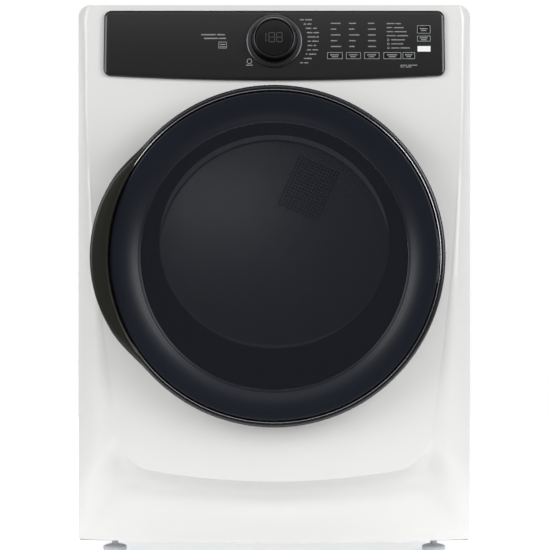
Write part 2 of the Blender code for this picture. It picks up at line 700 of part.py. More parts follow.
def door_opening_ring():
    """The funnel from the panel's hole to the drum, with a slot for the lint filter."""
    profile = [(0.2312, -0.3310), (0.2312, -0.3000), (0.2110, -0.2800), (0.2110, -0.2500),
               (0.2050, -0.2500), (0.2050, -0.2820), (0.2260, -0.3020), (0.2260, -0.3310)]
    ring = spin("door_opening_ring", profile, "grey_plastic", (0, 0, DOOR_Z))
    slot = box("cut", (-FILTER_HALF_W - 0.003, FILTER_HALF_W + 0.003),
               (FILTER_Y[0] - 0.002, FILTER_Y[1] + 0.002), (0.2, 0.42), "steel")
    return carve(ring, [slot])


def rear_bulkhead():
    """Stationary back wall of the drum, open to the heater at the upper right."""
    plate = bulkhead_plate("rear_bulkhead", (0.3060, 0.3080), None, 0, 0.205,
                           "galvanised_sheet")
    inlet = box("cut", (0.045, 0.185), (0.29, 0.32), (0.625, 0.745), "steel")
    axles = [tube("cut", (0, 0.0043), (0.29, 0.32), (x, 0, z), "steel", sides=12)
             for x, z in roller_places()]
    return carve(plate, [inlet] + axles)


def drum_seals():
    for name, y in (("front_drum_seal", (-0.2607, -0.2510)), ("rear_drum_seal", (0.3012, 0.3038))):
        inner = 0.2800 if name.startswith("front") else DRUM_R - 0.012
        tube(name, (inner, DRUM_R - 0.003), y, (0, 0, DRUM_Z), "felt", sides=BIG)


def roller_places():
    reach = DRUM_R + ROLLER_R + 0.0006
    return [(side * reach * math.sin(ROLLER_ANGLE), DRUM_Z - reach * math.cos(ROLLER_ANGLE))
            for side in (-1, 1)]


def drum_rollers():
    for side, (x, z) in zip(("left", "right"), roller_places()):
        low, high = ROLLER_Y
        tube(f"drum_roller_{side}", (0.0044, ROLLER_R), (low, high), (x, 0, z), "black_plastic",
             sides=MEDIUM, origin=(x, 0, z))
        axle = [(0, low - 0.006), (0.007, low - 0.006), (0.007, low - 0.001),
                (0.0040, low - 0.001), (0.0040, 0.3150), (0, 0.3150)]
        spin(f"roller_axle_{side}", axle, "steel", (x, 0, z), sides=16)


def motor():
    at = (MOTOR_X, 0, MOTOR_Z)
    front, rear = MOTOR_Y
    body = [(0.0075, front), (0.030, front), (0.034, front + 0.010), (MOTOR_R, front + 0.016),
            (MOTOR_R, rear - 0.016), (0.034, rear - 0.010), (0.030, rear), (0.0075, rear)]
    spin("motor_body", body, "motor_paint", at, sides=MEDIUM)
    shaft = [(0, -0.1290), (0.0070, -0.1290), (0.0070, BELT_Y - 0.008), (PULLEY_R + 0.003,
             BELT_Y - 0.008), (PULLEY_R, BELT_Y - 0.006), (PULLEY_R, BELT_Y + 0.006),
             (PULLEY_R + 0.003, BELT_Y + 0.008), (0, BELT_Y + 0.008)]
    spin("motor_shaft", shaft, "steel", at, sides=24, origin=at)


def belt_loop():
    """Circles the belt wraps: centre x, centre z, radius, turning sense."""
    clear = 0.0006
    return [(0, DRUM_Z, DRUM_R - 0.001 + clear, 1),
            (MOTOR_X, MOTOR_Z, PULLEY_R + clear, 1),
            (IDLER_X, IDLER_Z, IDLER_R + clear, -1)]


def tangent(a, b):
    """Touch points of the straight run from one circle of the loop to the next."""
    (ax, az, ar, sa), (bx, bz, br, sb) = a, b
    dx, dz = bx - ax, bz - az
    distance = math.hypot(dx, dz)
    heading = math.atan2(dz, dx) - sa * math.acos((ar - sa * sb * br) / distance)
    start = (ax + ar * math.cos(heading), az + ar * math.sin(heading))
    facing = heading if sa == sb else heading + math.pi
    return start, (bx + br * math.cos(facing), bz + br * math.sin(facing))


def belt_route(offset):
    """The loop's line at a distance outside the surface that it wraps."""
    circles = [(x, z, r + offset if s > 0 else r + BELT_T - offset, s)
               for x, z, r, s in belt_loop()]
    runs = [tangent(circles[k], circles[(k + 1) % 3]) for k in range(3)]
    points = []
    for k, (x, z, r, sense) in enumerate(circles):
        begin, end = runs[k - 1][1], runs[k][0]
        a = math.atan2(begin[1] - z, begin[0] - x)
        b = math.atan2(end[1] - z, end[0] - x)
        sweep = (b - a) % (2 * math.pi) if sense > 0 else -((a - b) % (2 * math.pi))
        steps = 56 if k == 0 else 10
        points += [(x + r * math.cos(a + sweep * i / steps), z + r * math.sin(a + sweep * i / steps))
                   for i in range(steps + 1)]
    return points


def drum_belt():
    inner, outer = belt_route(0.0), belt_route(BELT_T)
    sections = []
    for (ax, az), (bx, bz) in zip(inner, outer):
        low, high = BELT_Y - BELT_W / 2, BELT_Y + BELT_W / 2
        sections.append([(ax, low, az), (bx, low, bz), (bx, high, bz), (ax, high, az)])
    return loft("drum_belt", sections, "seal_rubber", closed=True)


def idler():
    """Sprung arm whose wheel presses the belt's slack side."""
    px, pz = IDLER_PIVOT
    tube("idler_pulley", (0.0043, IDLER_R), (BELT_Y - 0.006, BELT_Y + 0.006),
         (IDLER_X, 0, IDLER_Z), "black_plastic", sides=24, origin=(IDLER_X, 0, IDLER_Z))
    run = Vector((IDLER_X - px, 0, IDLER_Z - pz)).normalized()
    side = Vector((run.z, 0, -run.x)) * 0.009
    ends = [Vector((px, 0, pz)) - run * 0.012, Vector((IDLER_X, 0, IDLER_Z)) + run * 0.009]
    outline = [(p.x, p.z) for p in (ends[0] - side, ends[1] - side, ends[1] + side, ends[0] + side)]
    arm = prism("idler_arm", outline, (BELT_Y + 0.0075, BELT_Y + 0.0105), "steel", "Y",
                (px, 0, pz))
    stub = tube("stub", (0, 0.0040), (BELT_Y - 0.0065, BELT_Y + 0.0080),
                (IDLER_X, 0, IDLER_Z), "steel", sides=16)
    carve(arm, [stub], "UNION")


# ---------------------------------------------------------------- air path

def blower():
    """Bladed wheel on the motor shaft inside a volute that feeds the exhaust duct."""
    at = (MOTOR_X, 0, MOTOR_Z)
    front, rear = BLOWER_Y
    wheel = [(0.0074, -0.1220), (0.0200, -0.1220), (0.0200, -0.0870), (0.0740, -0.0870),
             (0.0740, -0.0840), (0.0074, -0.0840)]
    spin("blower_wheel", wheel, "grey_plastic", at, sides=24, origin=at)
    low, high, left = MOTOR_Z - 0.094, MOTOR_Z + 0.0200, -0.058
    outer = arc(MOTOR_X, MOTOR_Z, 0.094, -90, 170, 16)
    outer += [(0.061, high), (left, high), (left, low)]
    inner = arc(MOTOR_X, MOTOR_Z, 0.0915, -90, 170, 16)
    inner += [(0.061, high - 0.0025), (left + 0.0025, high - 0.0025), (left + 0.0025, low + 0.0025)]
    housing = prism("blower_housing", outer, (front, rear), "grey_plastic")
    hollow = prism("cut", inner, (front + 0.0025, rear - 0.0025), "steel")
    inlet = tube("cut", (0, 0.050), (front - 0.1, front + 0.01), at, "steel")
    outlet = tube("cut", (0, 0.047), (rear - 0.01, rear + 0.1), (DUCT_X, 0, DUCT_Z), "steel")
    shaft = tube("cut", (0, 0.0078), (rear - 0.01, rear + 0.1), at, "steel", sides=16)
    carve(housing, [hollow, inlet, outlet, shaft])


def exhaust_duct():
    tube("exhaust_duct", (DUCT_R - 0.0015, DUCT_R), (BLOWER_Y[1] + GAP, DUCT_END_Y),
         (DUCT_X, 0, DUCT_Z), "galvanised_sheet", sides=40)


def lint_path():
    """Chute below the door opening, the run back to the blower, and the filter."""
    chute = box("lint_chute", (-0.128, 0.128), (-0.2845, -0.2645), (0.100, 0.296),
                "grey_plastic")
    run = box("run", (0.085, 0.225), (-0.2700, BLOWER_Y[0] - GAP), (0.070, 0.196), "steel")
    carve(chute, [run], "UNION")
    hollow = box("cut", (-0.1255, 0.1255), (-0.2825, -0.2665), (0.103, 0.310), "steel")
    run_hollow = box("cut", (0.088, 0.222), (-0.2680, -0.10), (0.103, 0.193), "steel")
    carve(chute, [hollow, run_hollow])
    filter_body = box("lint_filter", (-FILTER_HALF_W, FILTER_HALF_W), FILTER_Y, FILTER_Z,
                      "filter_mesh")
    pocket = box("cut", (-FILTER_HALF_W + 0.006, FILTER_HALF_W - 0.006),
                 (FILTER_Y[0] + 0.002, FILTER_Y[1] - 0.002), (FILTER_Z[0] + 0.005, 0.4), "steel")
    carve(filter_body, [pocket])


def heater():
    """Open-fronted casing behind the rear wall's inlet."""
    casing = box("heater_housing", (0.030, 0.200), (0.3083, 0.3640), (0.520, 0.765),
                 "galvanised_sheet")
    hollow = box("cut", (0.0315, 0.1985), (0.30, 0.3625), (0.5215, 0.7635), "steel")
    carve(casing, [hollow])


def build():
    clear_scene()
    for make in (base_pan, side_panels, rear_panel, top_panel, front_panel, legs,
                 terminal_cover, console_fascia, keys, knob, ui_board, drum, drum_lifters,
                 front_bulkhead, door_opening_ring, rear_bulkhead, drum_seals,
                 drum_rollers, motor, drum_belt, idler, blower, exhaust_duct, lint_path, heater, door_ring, door_handle, door_lens, door_inner_frame,
                 door_glass_bowl, door_seal, hinge, latch, door_switch_plunger):
        make()


build()
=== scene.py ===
import math

import bmesh
import bpy
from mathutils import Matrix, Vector


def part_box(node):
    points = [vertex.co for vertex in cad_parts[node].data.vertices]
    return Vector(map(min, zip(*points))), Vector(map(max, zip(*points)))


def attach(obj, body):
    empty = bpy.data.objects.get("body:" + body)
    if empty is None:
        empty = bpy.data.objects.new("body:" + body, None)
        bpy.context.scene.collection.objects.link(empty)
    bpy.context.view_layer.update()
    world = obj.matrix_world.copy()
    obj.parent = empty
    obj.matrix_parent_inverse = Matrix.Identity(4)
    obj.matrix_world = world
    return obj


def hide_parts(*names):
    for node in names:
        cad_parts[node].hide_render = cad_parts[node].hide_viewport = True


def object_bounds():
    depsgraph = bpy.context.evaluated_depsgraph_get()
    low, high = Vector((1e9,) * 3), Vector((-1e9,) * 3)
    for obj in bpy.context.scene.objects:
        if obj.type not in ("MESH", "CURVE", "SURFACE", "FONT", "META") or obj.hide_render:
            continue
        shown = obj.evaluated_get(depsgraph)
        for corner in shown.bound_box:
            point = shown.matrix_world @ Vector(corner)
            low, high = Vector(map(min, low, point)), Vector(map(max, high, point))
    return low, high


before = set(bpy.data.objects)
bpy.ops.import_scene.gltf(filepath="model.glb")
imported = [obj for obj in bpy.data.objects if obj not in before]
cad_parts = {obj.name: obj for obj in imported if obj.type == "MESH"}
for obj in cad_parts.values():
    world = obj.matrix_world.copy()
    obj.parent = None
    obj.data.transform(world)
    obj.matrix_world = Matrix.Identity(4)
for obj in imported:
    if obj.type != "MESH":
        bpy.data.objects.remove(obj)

CAD_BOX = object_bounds()

# ---- places from the frame

HALF_W = CAD_BOX[1][0]
HEIGHT = CAD_BOX[1][2]
EDGE_Y, REAR_Y = -0.300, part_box("rear_panel")[1][1]
BODY_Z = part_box("front_panel")[0][2]
RING_LOW, RING_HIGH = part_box("door_ring")
DOOR_Z = (RING_LOW[2] + RING_HIGH[2]) / 2
DOOR_R = (RING_HIGH[2] - RING_LOW[2]) / 2
DRUM_LOW, DRUM_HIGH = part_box("drum_shell")
DRUM_Z, DRUM_R = (DRUM_LOW[2] + DRUM_HIGH[2]) / 2, (DRUM_HIGH[2] - DRUM_LOW[2]) / 2
TOP_RADIUS = 0.020

# The front panel's curves, as the design has them
FRONT_SHEET = 0.002
HOLE_R, SEAL_OUTER_R = 0.232, 0.2465
BOW_CREASE, BOW_CENTRE = 0.030, 0.055
TOP_DEPTH, LEAN = 0.012, math.radians(9)
SHIELD_HALF_W, SHIELD_TAPER, SHIELD_TAPER_Z, SHIELD_SPAN = 0.3228, 0.0528, 0.825, 0.618
SHIELD_CURVE = 1.8
SHIELD_FLOOR_Z, SHIELD_CORNER = 0.1387, 0.045
SHIELD_FLOOR_RISE, SHIELD_FLOOR_SPAN = 0.0157, 0.205
BOW_ENDS_Z, CONSOLE_STARTS_Z = 0.66, 0.82
COVE_DEPTH, COVE_AT = 0.026, 0.40
COVE_FULL_Z, COVE_GONE_Z = 0.16, 0.22
HOLE_RETURN = 0.032      # how far the turned-in edge of the door hole reaches, from EDGE_Y

# Console frame: u to the right, v up the leaning face, n out of it
CONSOLE_Z = 0.895
FASCIA_HALF_W, FASCIA_TOP_V = 0.296, 0.0595
FASCIA_BOTTOM_V, FASCIA_SAG, FASCIA_CORNER = -0.0575, 0.008, 0.013
FASCIA_FACE = 0.0075
PRINT_LOW, PRINT_HIGH = FASCIA_FACE - 0.0001, FASCIA_FACE + 0.00012
KEY_THICKNESS, KEY_FACES_SUM = 0.0061, 0.0089    # front less back, front plus back
KNOB_V, KNOB_CAP_R = 0.0045, 0.0325


# ---- mesh tools

def smoothstep(low, high, value):
    t = min(max((value - low) / (high - low), 0.0), 1.0)
    return t * t * (3 - 2 * t)


def arc(cx, cy, radius, start, end, steps):
    angles = [math.radians(start + (end - start) * k / steps) for k in range(steps + 1)]
    return [(cx + radius * math.cos(a), cy + radius * math.sin(a)) for a in angles]


def curve_through(points, steps):
    """A smooth line through a few chosen points, by Catmull and Rom's rule."""
    ends = [points[0]] + list(points) + [points[-1]]
    line = []
    for a, b, c, d in zip(ends, ends[1:], ends[2:], ends[3:]):
        for k in range(steps):
            t = k / steps
            line.append(tuple(
                0.5 * (2 * q + (r - p) * t + (2 * p - 5 * q + 4 * r - s) * t * t
                       + (3 * q - p - 3 * r + s) * t ** 3)
                for p, q, r, s in zip(a, b, c, d)))
    return line + [tuple(points[-1])]


def linked(name, data):
    """A new object in the scene."""
    obj = bpy.data.objects.new(name, data)
    bpy.context.scene.collection.objects.link(obj)
    return obj


def mesh_from(name, bm):
    bmesh.ops.recalc_face_normals(bm, faces=bm.faces)
    mesh = bpy.data.meshes.new(name)
    bm.to_mesh(mesh)
    bm.free()
    return mesh


def to_object(name, bm, paint, smooth=True, sharp=35):
    bmesh.ops.remove_doubles(bm, verts=bm.verts, dist=1e-6)
    mesh = mesh_from(name, bm)
    if smooth:
        mesh.shade_smooth()
        mesh.set_sharp_from_angle(angle=math.radians(sharp))
    mesh.materials.append(paint)
    return linked(name, mesh)


def skin(bm, sections, closed):
    rows = [[bm.verts.new(point) for point in section] for section in sections]
    pairs = list(zip(rows, rows[1:]))
    if closed:
        pairs.append((rows[-1], rows[0]))
    count = len(rows[0])
    for row, following in pairs:
        for i in range(count):
            j = (i + 1) % count
            bm.faces.new((row[i], row[j], following[j], following[i]))
    if not closed:
        bm.faces.new(rows[0])
        bm.faces.new(list(reversed(rows[-1])))


def loft(name, sections, paint, closed=False, smooth=True, sharp=35):
    bm = bmesh.new()
    skin(bm, sections, closed)
    return to_object(name, bm, paint, smooth, sharp)


def spin(name, profile, paint, at, axis=(0, 1, 0), sides=192, sharp=35):
    """Turn a closed (radius, height) profile about an axis through a point."""
    turn = Vector((0, 0, 1)).rotation_difference(Vector(axis))
    centre = Vector(at)
    bm = bmesh.new()
    rows = []
    poles = {}
    for k in range(sides):
        a = 2 * math.pi * k / sides
        row = []
        for i, (r, h) in enumerate(profile):
            if r < 1e-7:
                if i not in poles:
                    poles[i] = bm.verts.new(centre + turn @ Vector((0, 0, h)))
                row.append(poles[i])
            else:
                row.append(bm.verts.new(
                    centre + turn @ Vector((r * math.cos(a), r * math.sin(a), h))))
        rows.append(row)
    for k in range(sides):
        row, following = rows[k], rows[(k + 1) % sides]
        for i in range(len(profile)):
            j = (i + 1) % len(profile)
            corners = []
            for vert in (row[i], row[j], following[j], following[i]):
                if vert not in corners:
                    corners.append(vert)
            if len(corners) > 2:
                bm.faces.new(corners)
    return to_object(name, bm, paint, True, sharp)


def add_block(bm, corners_low, corners_high):
    """One closed prism between two matching outlines."""
    low = [bm.verts.new(p) for p in corners_low]
    high = [bm.verts.new(p) for p in corners_high]
    count = len(low)
    for i in range(count):
        j = (i + 1) % count
        bm.faces.new((low[i], low[j], high[j], high[i]))
    bm.faces.new(low)
    bm.faces.new(list(reversed(high)))


def add_box(bm, x, y, z):
    """One straight box between two values on each axis."""
    outline = [(x[0], z[0]), (x[1], z[0]), (x[1], z[1]), (x[0], z[1])]
    add_block(bm, [(a, y[0], b) for a, b in outline], [(a, y[1], b) for a, b in outline])


def place(obj, body, slot, *nodes):
    """Ride on a body and stand for the nodes named; the slot is not used."""
    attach(obj, body)
    if nodes:
        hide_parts(*nodes)
    return obj


# ---- finishes

def group_sockets(tree, inputs, outputs):
    """Give a group its sockets: name, kind and, for some inputs, a value."""
    for name, kind, *value in inputs:
        socket = tree.interface.new_socket(name=name, in_out="INPUT",
                                           socket_type="NodeSocket" + kind)
        if value:
            socket.default_value = value[0]
    for name, kind in outputs:
        tree.interface.new_socket(name=name, in_out="OUTPUT", socket_type="NodeSocket" + kind)


def join(tree, *links):
    """Link a node and its output to a node and its input, for each set of four."""
    for source, output, target, entry in links:
        tree.links.new(source.outputs[output], target.inputs[entry])


def settle(node, values):
    """Set a node's inputs by name."""
    for name, value in values.items():
        node.inputs[name].default_value = value


def surface_group():
    """Slow colour drift, a fine relief and uneven gloss, from object coordinates."""
    tree = bpy.data.node_groups.new("made_surface", "ShaderNodeTree")
    group_sockets(
        tree,
        [("Colour", "Color", (0.5, 0.5, 0.5, 1)), ("Shade", "Color", (0.4, 0.4, 0.4, 1)),
         ("Grain Scale", "Float", 300.0), ("Relief", "Float", 0.05), ("Roughness", "Float", 0.4),
         ("Unevenness", "Float", 0.05), ("Stretch", "Vector", (1, 1, 1))],
        [("Colour", "Color"), ("Roughness", "Float"), ("Normal", "Vector")])
    nodes = tree.nodes
    start, end = nodes.new("NodeGroupInput"), nodes.new("NodeGroupOutput")
    where, stretch = nodes.new("ShaderNodeTexCoord"), nodes.new("ShaderNodeVectorMath")
    stretch.operation = "MULTIPLY"
    drift, grain = nodes.new("ShaderNodeTexNoise"), nodes.new("ShaderNodeTexNoise")
    drift.inputs["Scale"].default_value = 6.0
    mix = nodes.new("ShaderNodeMix")
    mix.data_type = "RGBA"
    offset, gain, total = (nodes.new("ShaderNodeMath") for _ in range(3))
    offset.operation, gain.operation, total.operation = "SUBTRACT", "MULTIPLY", "ADD"
    offset.inputs[1].default_value = 0.5
    bump = nodes.new("ShaderNodeBump")
    bump.inputs["Distance"].default_value = 0.0005
    join(tree, (where, "Object", stretch, 0), (start, "Stretch", stretch, 1),
         (where, "Object", drift, "Vector"), (stretch, 0, grain, "Vector"),
         (start, "Grain Scale", grain, "Scale"), (drift, "Fac", mix, "Factor"),
         (start, "Colour", mix, "A"), (start, "Shade", mix, "B"), (mix, "Result", end, "Colour"),
         (grain, "Fac", offset, 0), (offset, 0, gain, 0), (start, "Unevenness", gain, 1),
         (gain, 0, total, 0), (start, "Roughness", total, 1), (total, 0, end, "Roughness"),
         (start, "Relief", bump, "Strength"), (grain, "Fac", bump, "Height"),
         (bump, "Normal", end, "Normal"))
    return tree


SURFACE = surface_group()


def finish(name, colour, roughness, metallic=0.0, grain=300.0, relief=0.01, uneven=0.02,
           drift=0.93, stretch=(1, 1, 1), coat=0.0, alpha=1.0, ior=1.5, glow=0.0):
    """A Principled material fed by the shared surface group."""
    made = bpy.data.materials.new(name)
    made.use_nodes = True
    nodes = made.node_tree.nodes
    shader = nodes["Principled BSDF"]
    settle(shader, {"Metallic": metallic, "IOR": ior, "Alpha": alpha, "Coat Weight": coat,
                    "Coat Roughness": 0.04})
    if glow:
        settle(shader, {"Emission Color": (*colour, 1), "Emission Strength": glow})
    surface = nodes.new("ShaderNodeGroup")
    surface.node_tree = SURFACE
    settle(surface, {"Colour": (*colour, 1), "Shade": (*(c * drift for c in colour), 1),
                     "Grain Scale": grain, "Relief": relief, "Roughness": roughness,
                     "Unevenness": uneven, "Stretch": stretch})
    join(made.node_tree, (surface, "Colour", shader, "Base Color"),
         (surface, "Roughness", shader, "Roughness"), (surface, "Normal", shader, "Normal"))
    return made


ENAMEL = finish("white_enamel_paint", (0.60, 0.60, 0.594), 0.36, grain=160, relief=0.02,
                uneven=0.03, drift=0.985, coat=0.25)
ZINC = finish("zinc_coated_sheet", (0.52, 0.54, 0.56), 0.42, 0.85, grain=45, relief=0.06,
              uneven=0.25, drift=0.82)
DRUM_STEEL = finish("drum_stainless", (0.56, 0.57, 0.60), 0.46, 0.75, grain=70, relief=0.08,
                    uneven=0.10, drift=0.90, stretch=(1, 40, 1))
BLACK_GLOSS = finish("console_black_gloss", (0.010, 0.010, 0.0105), 0.20, grain=400, drift=0.9,
                     ior=1.42)
# Black of the lens's printed border, also used for the ring of painted shade inside the window
LENS_BORDER_AND_SHADE = finish("lens_border_and_painted_shade", (0.0062, 0.0078, 0.0130), 0.31, drift=0.85, ior=1.30)
HANDLE_GLOSS = finish("handle_dark_gloss", (0.011, 0.011, 0.008), 0.26, drift=0.9, ior=1.32)
CHROME = finish("dark_chrome_plate", (0.060, 0.060, 0.064), 0.27, 1.0, grain=250, uneven=0.04,
                drift=0.94)
BRIGHT_CHROME = finish("knob_dark_chrome", (0.050, 0.050, 0.053), 0.22, 1.0, grain=250,
                       uneven=0.04, drift=0.95)
BEAD_METAL = finish("bead_metal", (0.24, 0.24, 0.25), 0.20, 1.0, grain=250, uneven=0.03,
                    drift=0.95)
CAP_BLACK = finish("knob_cap_black", (0.0065, 0.0065, 0.0065), 0.20, drift=0.9, ior=1.25)
SMOKED = finish("smoked_lens", (0.005, 0.0055, 0.010), 0.04, grain=120, relief=0.004, uneven=0.01,
                drift=0.9, alpha=0.62)
CLEAR = finish("clear_bowl_glass", (0.10, 0.115, 0.13), 0.04, grain=100, relief=0.004,
               uneven=0.01, drift=0.95, alpha=0.16)
# Painted highlight: pale opaque colour for the light caught on the bowl's lower rim
LIP_HIGHLIGHT = finish("bowl_lip_painted_highlight", (0.34, 0.36, 0.42), 0.30, grain=200, drift=0.9)
GREY_PLASTIC = finish("grey_moulding", (0.30, 0.31, 0.33), 0.50, grain=500, relief=0.15,
                      uneven=0.08)
LIGHT_PLASTIC = finish("light_grey_moulding", (0.62, 0.63, 0.65), 0.42, grain=500, relief=0.12,
                       uneven=0.08, drift=0.96)
BLACK_PLASTIC = finish("black_moulding", (0.035, 0.035, 0.036), 0.52, grain=450, relief=0.18,
                       uneven=0.08)
RUBBER = finish("seal_rubber_grey", (0.09, 0.09, 0.095), 0.72, grain=350, relief=0.25,
                uneven=0.10)
FELT = finish("wool_felt", (0.38, 0.36, 0.33), 0.95, grain=900, relief=0.9, uneven=0.05,
              drift=0.85)
BOARD = finish("circuit_board_mask", (0.03, 0.16, 0.08), 0.42, grain=220, relief=0.10,
               uneven=0.10, drift=0.75)
MOTOR_PAINT = finish("motor_dark_paint", (0.11, 0.12, 0.13), 0.40, 0.3, grain=260, relief=0.15,
                     uneven=0.12)
STEEL = finish("plain_steel", (0.60, 0.60, 0.61), 0.32, 1.0, grain=90, relief=0.06, uneven=0.12,
               drift=0.9, stretch=(1, 1, 18))
MESH_SCREEN = finish("filter_screen", (0.16, 0.19, 0.24), 0.70, grain=1200, relief=0.8,
                     uneven=0.10, drift=0.8)
LEGEND = finish("legend_print", (0.36, 0.37, 0.38), 0.5, grain=600, relief=0.02, drift=0.95)
WHITE_PRINT = finish("white_key_print", (0.70, 0.70, 0.70), 0.5, grain=600, relief=0.02,
                     drift=0.97)
SEGMENT = finish("display_segment", (0.045, 0.047, 0.052), 0.35, grain=600, relief=0.0, glow=0.04)
FLOOR_PAINT = finish("pale_floor", (0.92, 0.92, 0.92), 0.75, grain=20, drift=0.99, glow=0.50)
SHADOW_FILL = finish("floor_shadow_fill", (0.92, 0.92, 0.92), 0.75, grain=20, drift=0.99,
                     glow=0.55)
SHADOW_GAP = finish("shadow_gap_black", (0.012, 0.012, 0.013), 0.7, relief=0.1, uneven=0.05)

NODE_FINISH = (  # each finish, and the starts of the names of the kept design pieces it covers
    (ENAMEL, "side_panel", "top_panel"),
    (ZINC, "base_pan", "rear_panel", "terminal_cover", "front_bulkhead", "rear_bulkhead",
     "exhaust_duct", "heater_housing"),
    (DRUM_STEEL, "drum_shell", "drum_lifter"),
    (BLACK_PLASTIC, "drum_roller", "idler_pulley", "latch_catch"),
    (GREY_PLASTIC, "door_opening_ring", "blower_wheel", "blower_housing", "lint_chute"),
    (LIGHT_PLASTIC, "door_inner_frame", "door_switch_plunger", "leg_"),
    (STEEL, "roller_axle", "motor_shaft", "idler_arm", "hinge_", "door_strike"),
    (RUBBER, "drum_belt", "door_seal"), (FELT, "front_drum_seal", "rear_drum_seal"),
    (MOTOR_PAINT, "motor_body"), (MESH_SCREEN, "lint_filter"), (BOARD, "ui_board"),
    (BLACK_GLOSS, "key_"),
)


def finish_kept_nodes():
    for name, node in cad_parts.items():
        for paint, *starts in NODE_FINISH:
            if name.startswith(tuple(starts)):
                node.data.materials.clear()
                node.data.materials.append(paint)


# ---- cabinet front

def shield_half_width(z):
    below = max(SHIELD_TAPER_Z - z, 0.0) / SHIELD_SPAN
    return SHIELD_HALF_W - SHIELD_TAPER * below ** SHIELD_CURVE


def in_shield(x, z):
    """True inside the raised middle of the front, which is open at the top."""
    above = z - (SHIELD_FLOOR_Z + SHIELD_FLOOR_RISE * (x / SHIELD_FLOOR_SPAN) ** 2)
    inside = shield_half_width(z) - abs(x)
    if above < 0 or inside < 0:
        return False
    if above < SHIELD_CORNER and inside < SHIELD_CORNER:
        return math.hypot(SHIELD_CORNER - above, SHIELD_CORNER - inside) < SHIELD_CORNER
    return True


def bulge(x, z):
    """How far the raised middle stands forward of the side edges."""
    across = 1 - (x / shield_half_width(z)) ** 2
    bow = BOW_CREASE + (BOW_CENTRE - BOW_CREASE) * across
    lower = 1 - smoothstep(BOW_ENDS_Z, CONSOLE_STARTS_Z, z)
    return lower * bow + (1 - lower) * (TOP_DEPTH + math.tan(LEAN) * (HEIGHT - z))


def front_y(x, z):
    return EDGE_Y - bulge(x, z)


def edge_depth(x, z):
    """Depth of the panel's own outline: none at the sides, bowed along the foot."""
    foot = BOW_CENTRE * (1 - (x / HALF_W) ** 2)
    top = TOP_DEPTH * min(1.0, (HALF_W - abs(x)) / (HALF_W - SHIELD_HALF_W))
    if z < BODY_Z + 0.001:
        return foot
    return top if z > HEIGHT - TOP_RADIUS - 0.001 else 0.0


def last_inside(inside, high):
    """The largest radius that a test still accepts, by halving."""
    low = 0.0
    for _ in range(36):
        middle = (low + high) / 2
        low, high = (middle, high) if inside(middle) else (low, middle)
    return low


def in_outline(x, z):
    x = abs(x)
    corner_x, corner_z = HALF_W - TOP_RADIUS, HEIGHT - TOP_RADIUS
    if x > HALF_W or z > HEIGHT or z < BODY_Z:
        return False
    if x > corner_x and z > corner_z:
        return math.hypot(x - corner_x, z - corner_z) < TOP_RADIUS
    return True


def panel_section(angle):
    """One radial slice of the front panel: outer skin outwards, inner skin back."""
    dx, dz = math.cos(angle), math.sin(angle)
    limit = last_inside(lambda r: in_outline(r * dx, DOOR_Z + r * dz), 0.9)
    crease = last_inside(lambda r: in_shield(r * dx, DOOR_Z + r * dz), limit)
    crease = min(crease, limit - 0.003)
    low = 1 - smoothstep(COVE_FULL_Z, COVE_GONE_Z, DOOR_Z + crease * dz)
    first = SEAL_OUTER_R + 0.002
    outer = [(HOLE_R + 0.0008, bulge(HOLE_R * dx, DOOR_Z + HOLE_R * dz) - 0.0006)]
    for k in range(19):
        r = first + (crease - first) * math.sin(k / 18 * math.pi / 2)
        outer.append((r, bulge(r * dx, DOOR_Z + r * dz)))
    start, end = outer[-1][1], edge_depth(limit * dx, DOOR_Z + limit * dz)
    for k in range(1, 25):
        t = (k / 24) ** 1.35
        cove = t / COVE_AT * math.exp(1 - t / COVE_AT) * (1 - t) / (1 - COVE_AT)
        depth = start + (end - start) * t * t - low * COVE_DEPTH * cove
        outer.append((crease + (limit - crease) * t, depth))
    rim = bulge(HOLE_R * dx, DOOR_Z + HOLE_R * dz)
    points = [(HOLE_R, HOLE_RETURN), (HOLE_R, rim - 0.0018)] + outer
    points += [(r, depth - FRONT_SHEET) for r, depth in reversed(outer[1:])]
    points += [(HOLE_R + FRONT_SHEET, rim - 2 * FRONT_SHEET), (HOLE_R + FRONT_SHEET, HOLE_RETURN)]
    return [(r * dx, EDGE_Y - depth, DOOR_Z + r * dz) for r, depth in points]


def panel_angles():
    """Even angles, with extra ones through the panel's four corners."""
    angles = [2 * math.pi * k / 300 for k in range(300)]
    for side in (1, -1):
        angles.append(math.atan2(BODY_Z - DOOR_Z, side * HALF_W) % (2 * math.pi))
        for x, z in arc(HALF_W - TOP_RADIUS, HEIGHT - TOP_RADIUS, TOP_RADIUS, 0, 90, 10):
            angles.append(math.atan2(z - DOOR_Z, side * x) % (2 * math.pi))
    kept = []
    for angle in sorted(angles):
        if not kept or angle - kept[-1] > 0.002:
            kept.append(angle)
    return kept


def front_panel():
    sections = [panel_section(angle) for angle in panel_angles()]
    panel = loft("front_skin", sections, ENAMEL, closed=True, sharp=50)
    place(panel, "cabinet", "white_enamel", "front_panel")


# ---- console

def console_point(u, v, n):
    """World point of a place on the leaning console face."""
    up = Vector((0, math.sin(LEAN), math.cos(LEAN)))
    out = Vector((0, -math.cos(LEAN), math.sin(LEAN)))
    depth = TOP_DEPTH + math.tan(LEAN) * (HEIGHT - CONSOLE_Z)
    return Vector((0, EDGE_Y - depth, CONSOLE_Z)) + Vector((u, 0, 0)) + up * v + out * n


CONSOLE_AXIS = (0, -math.cos(LEAN), math.sin(LEAN))


def fascia_outline(inset=0.0):
    w, r = FASCIA_HALF_W - inset, max(FASCIA_CORNER - inset, 0.002)
    top, foot = FASCIA_TOP_V - inset, FASCIA_BOTTOM_V + inset
    upper = arc(w - r, top - r, r, 0, 90, 10)
    lower = arc(w - r, foot + r, r, -90, 0, 10)
    sag = [((w - r) * k / 16, foot - FASCIA_SAG * (1 - (k / 16) ** 2)) for k in range(15, 0, -1)]
    right = upper[::-1] + lower[::-1] + sag
    return right + [(0, foot - FASCIA_SAG)] + [(-u, v) for u, v in reversed(right)]


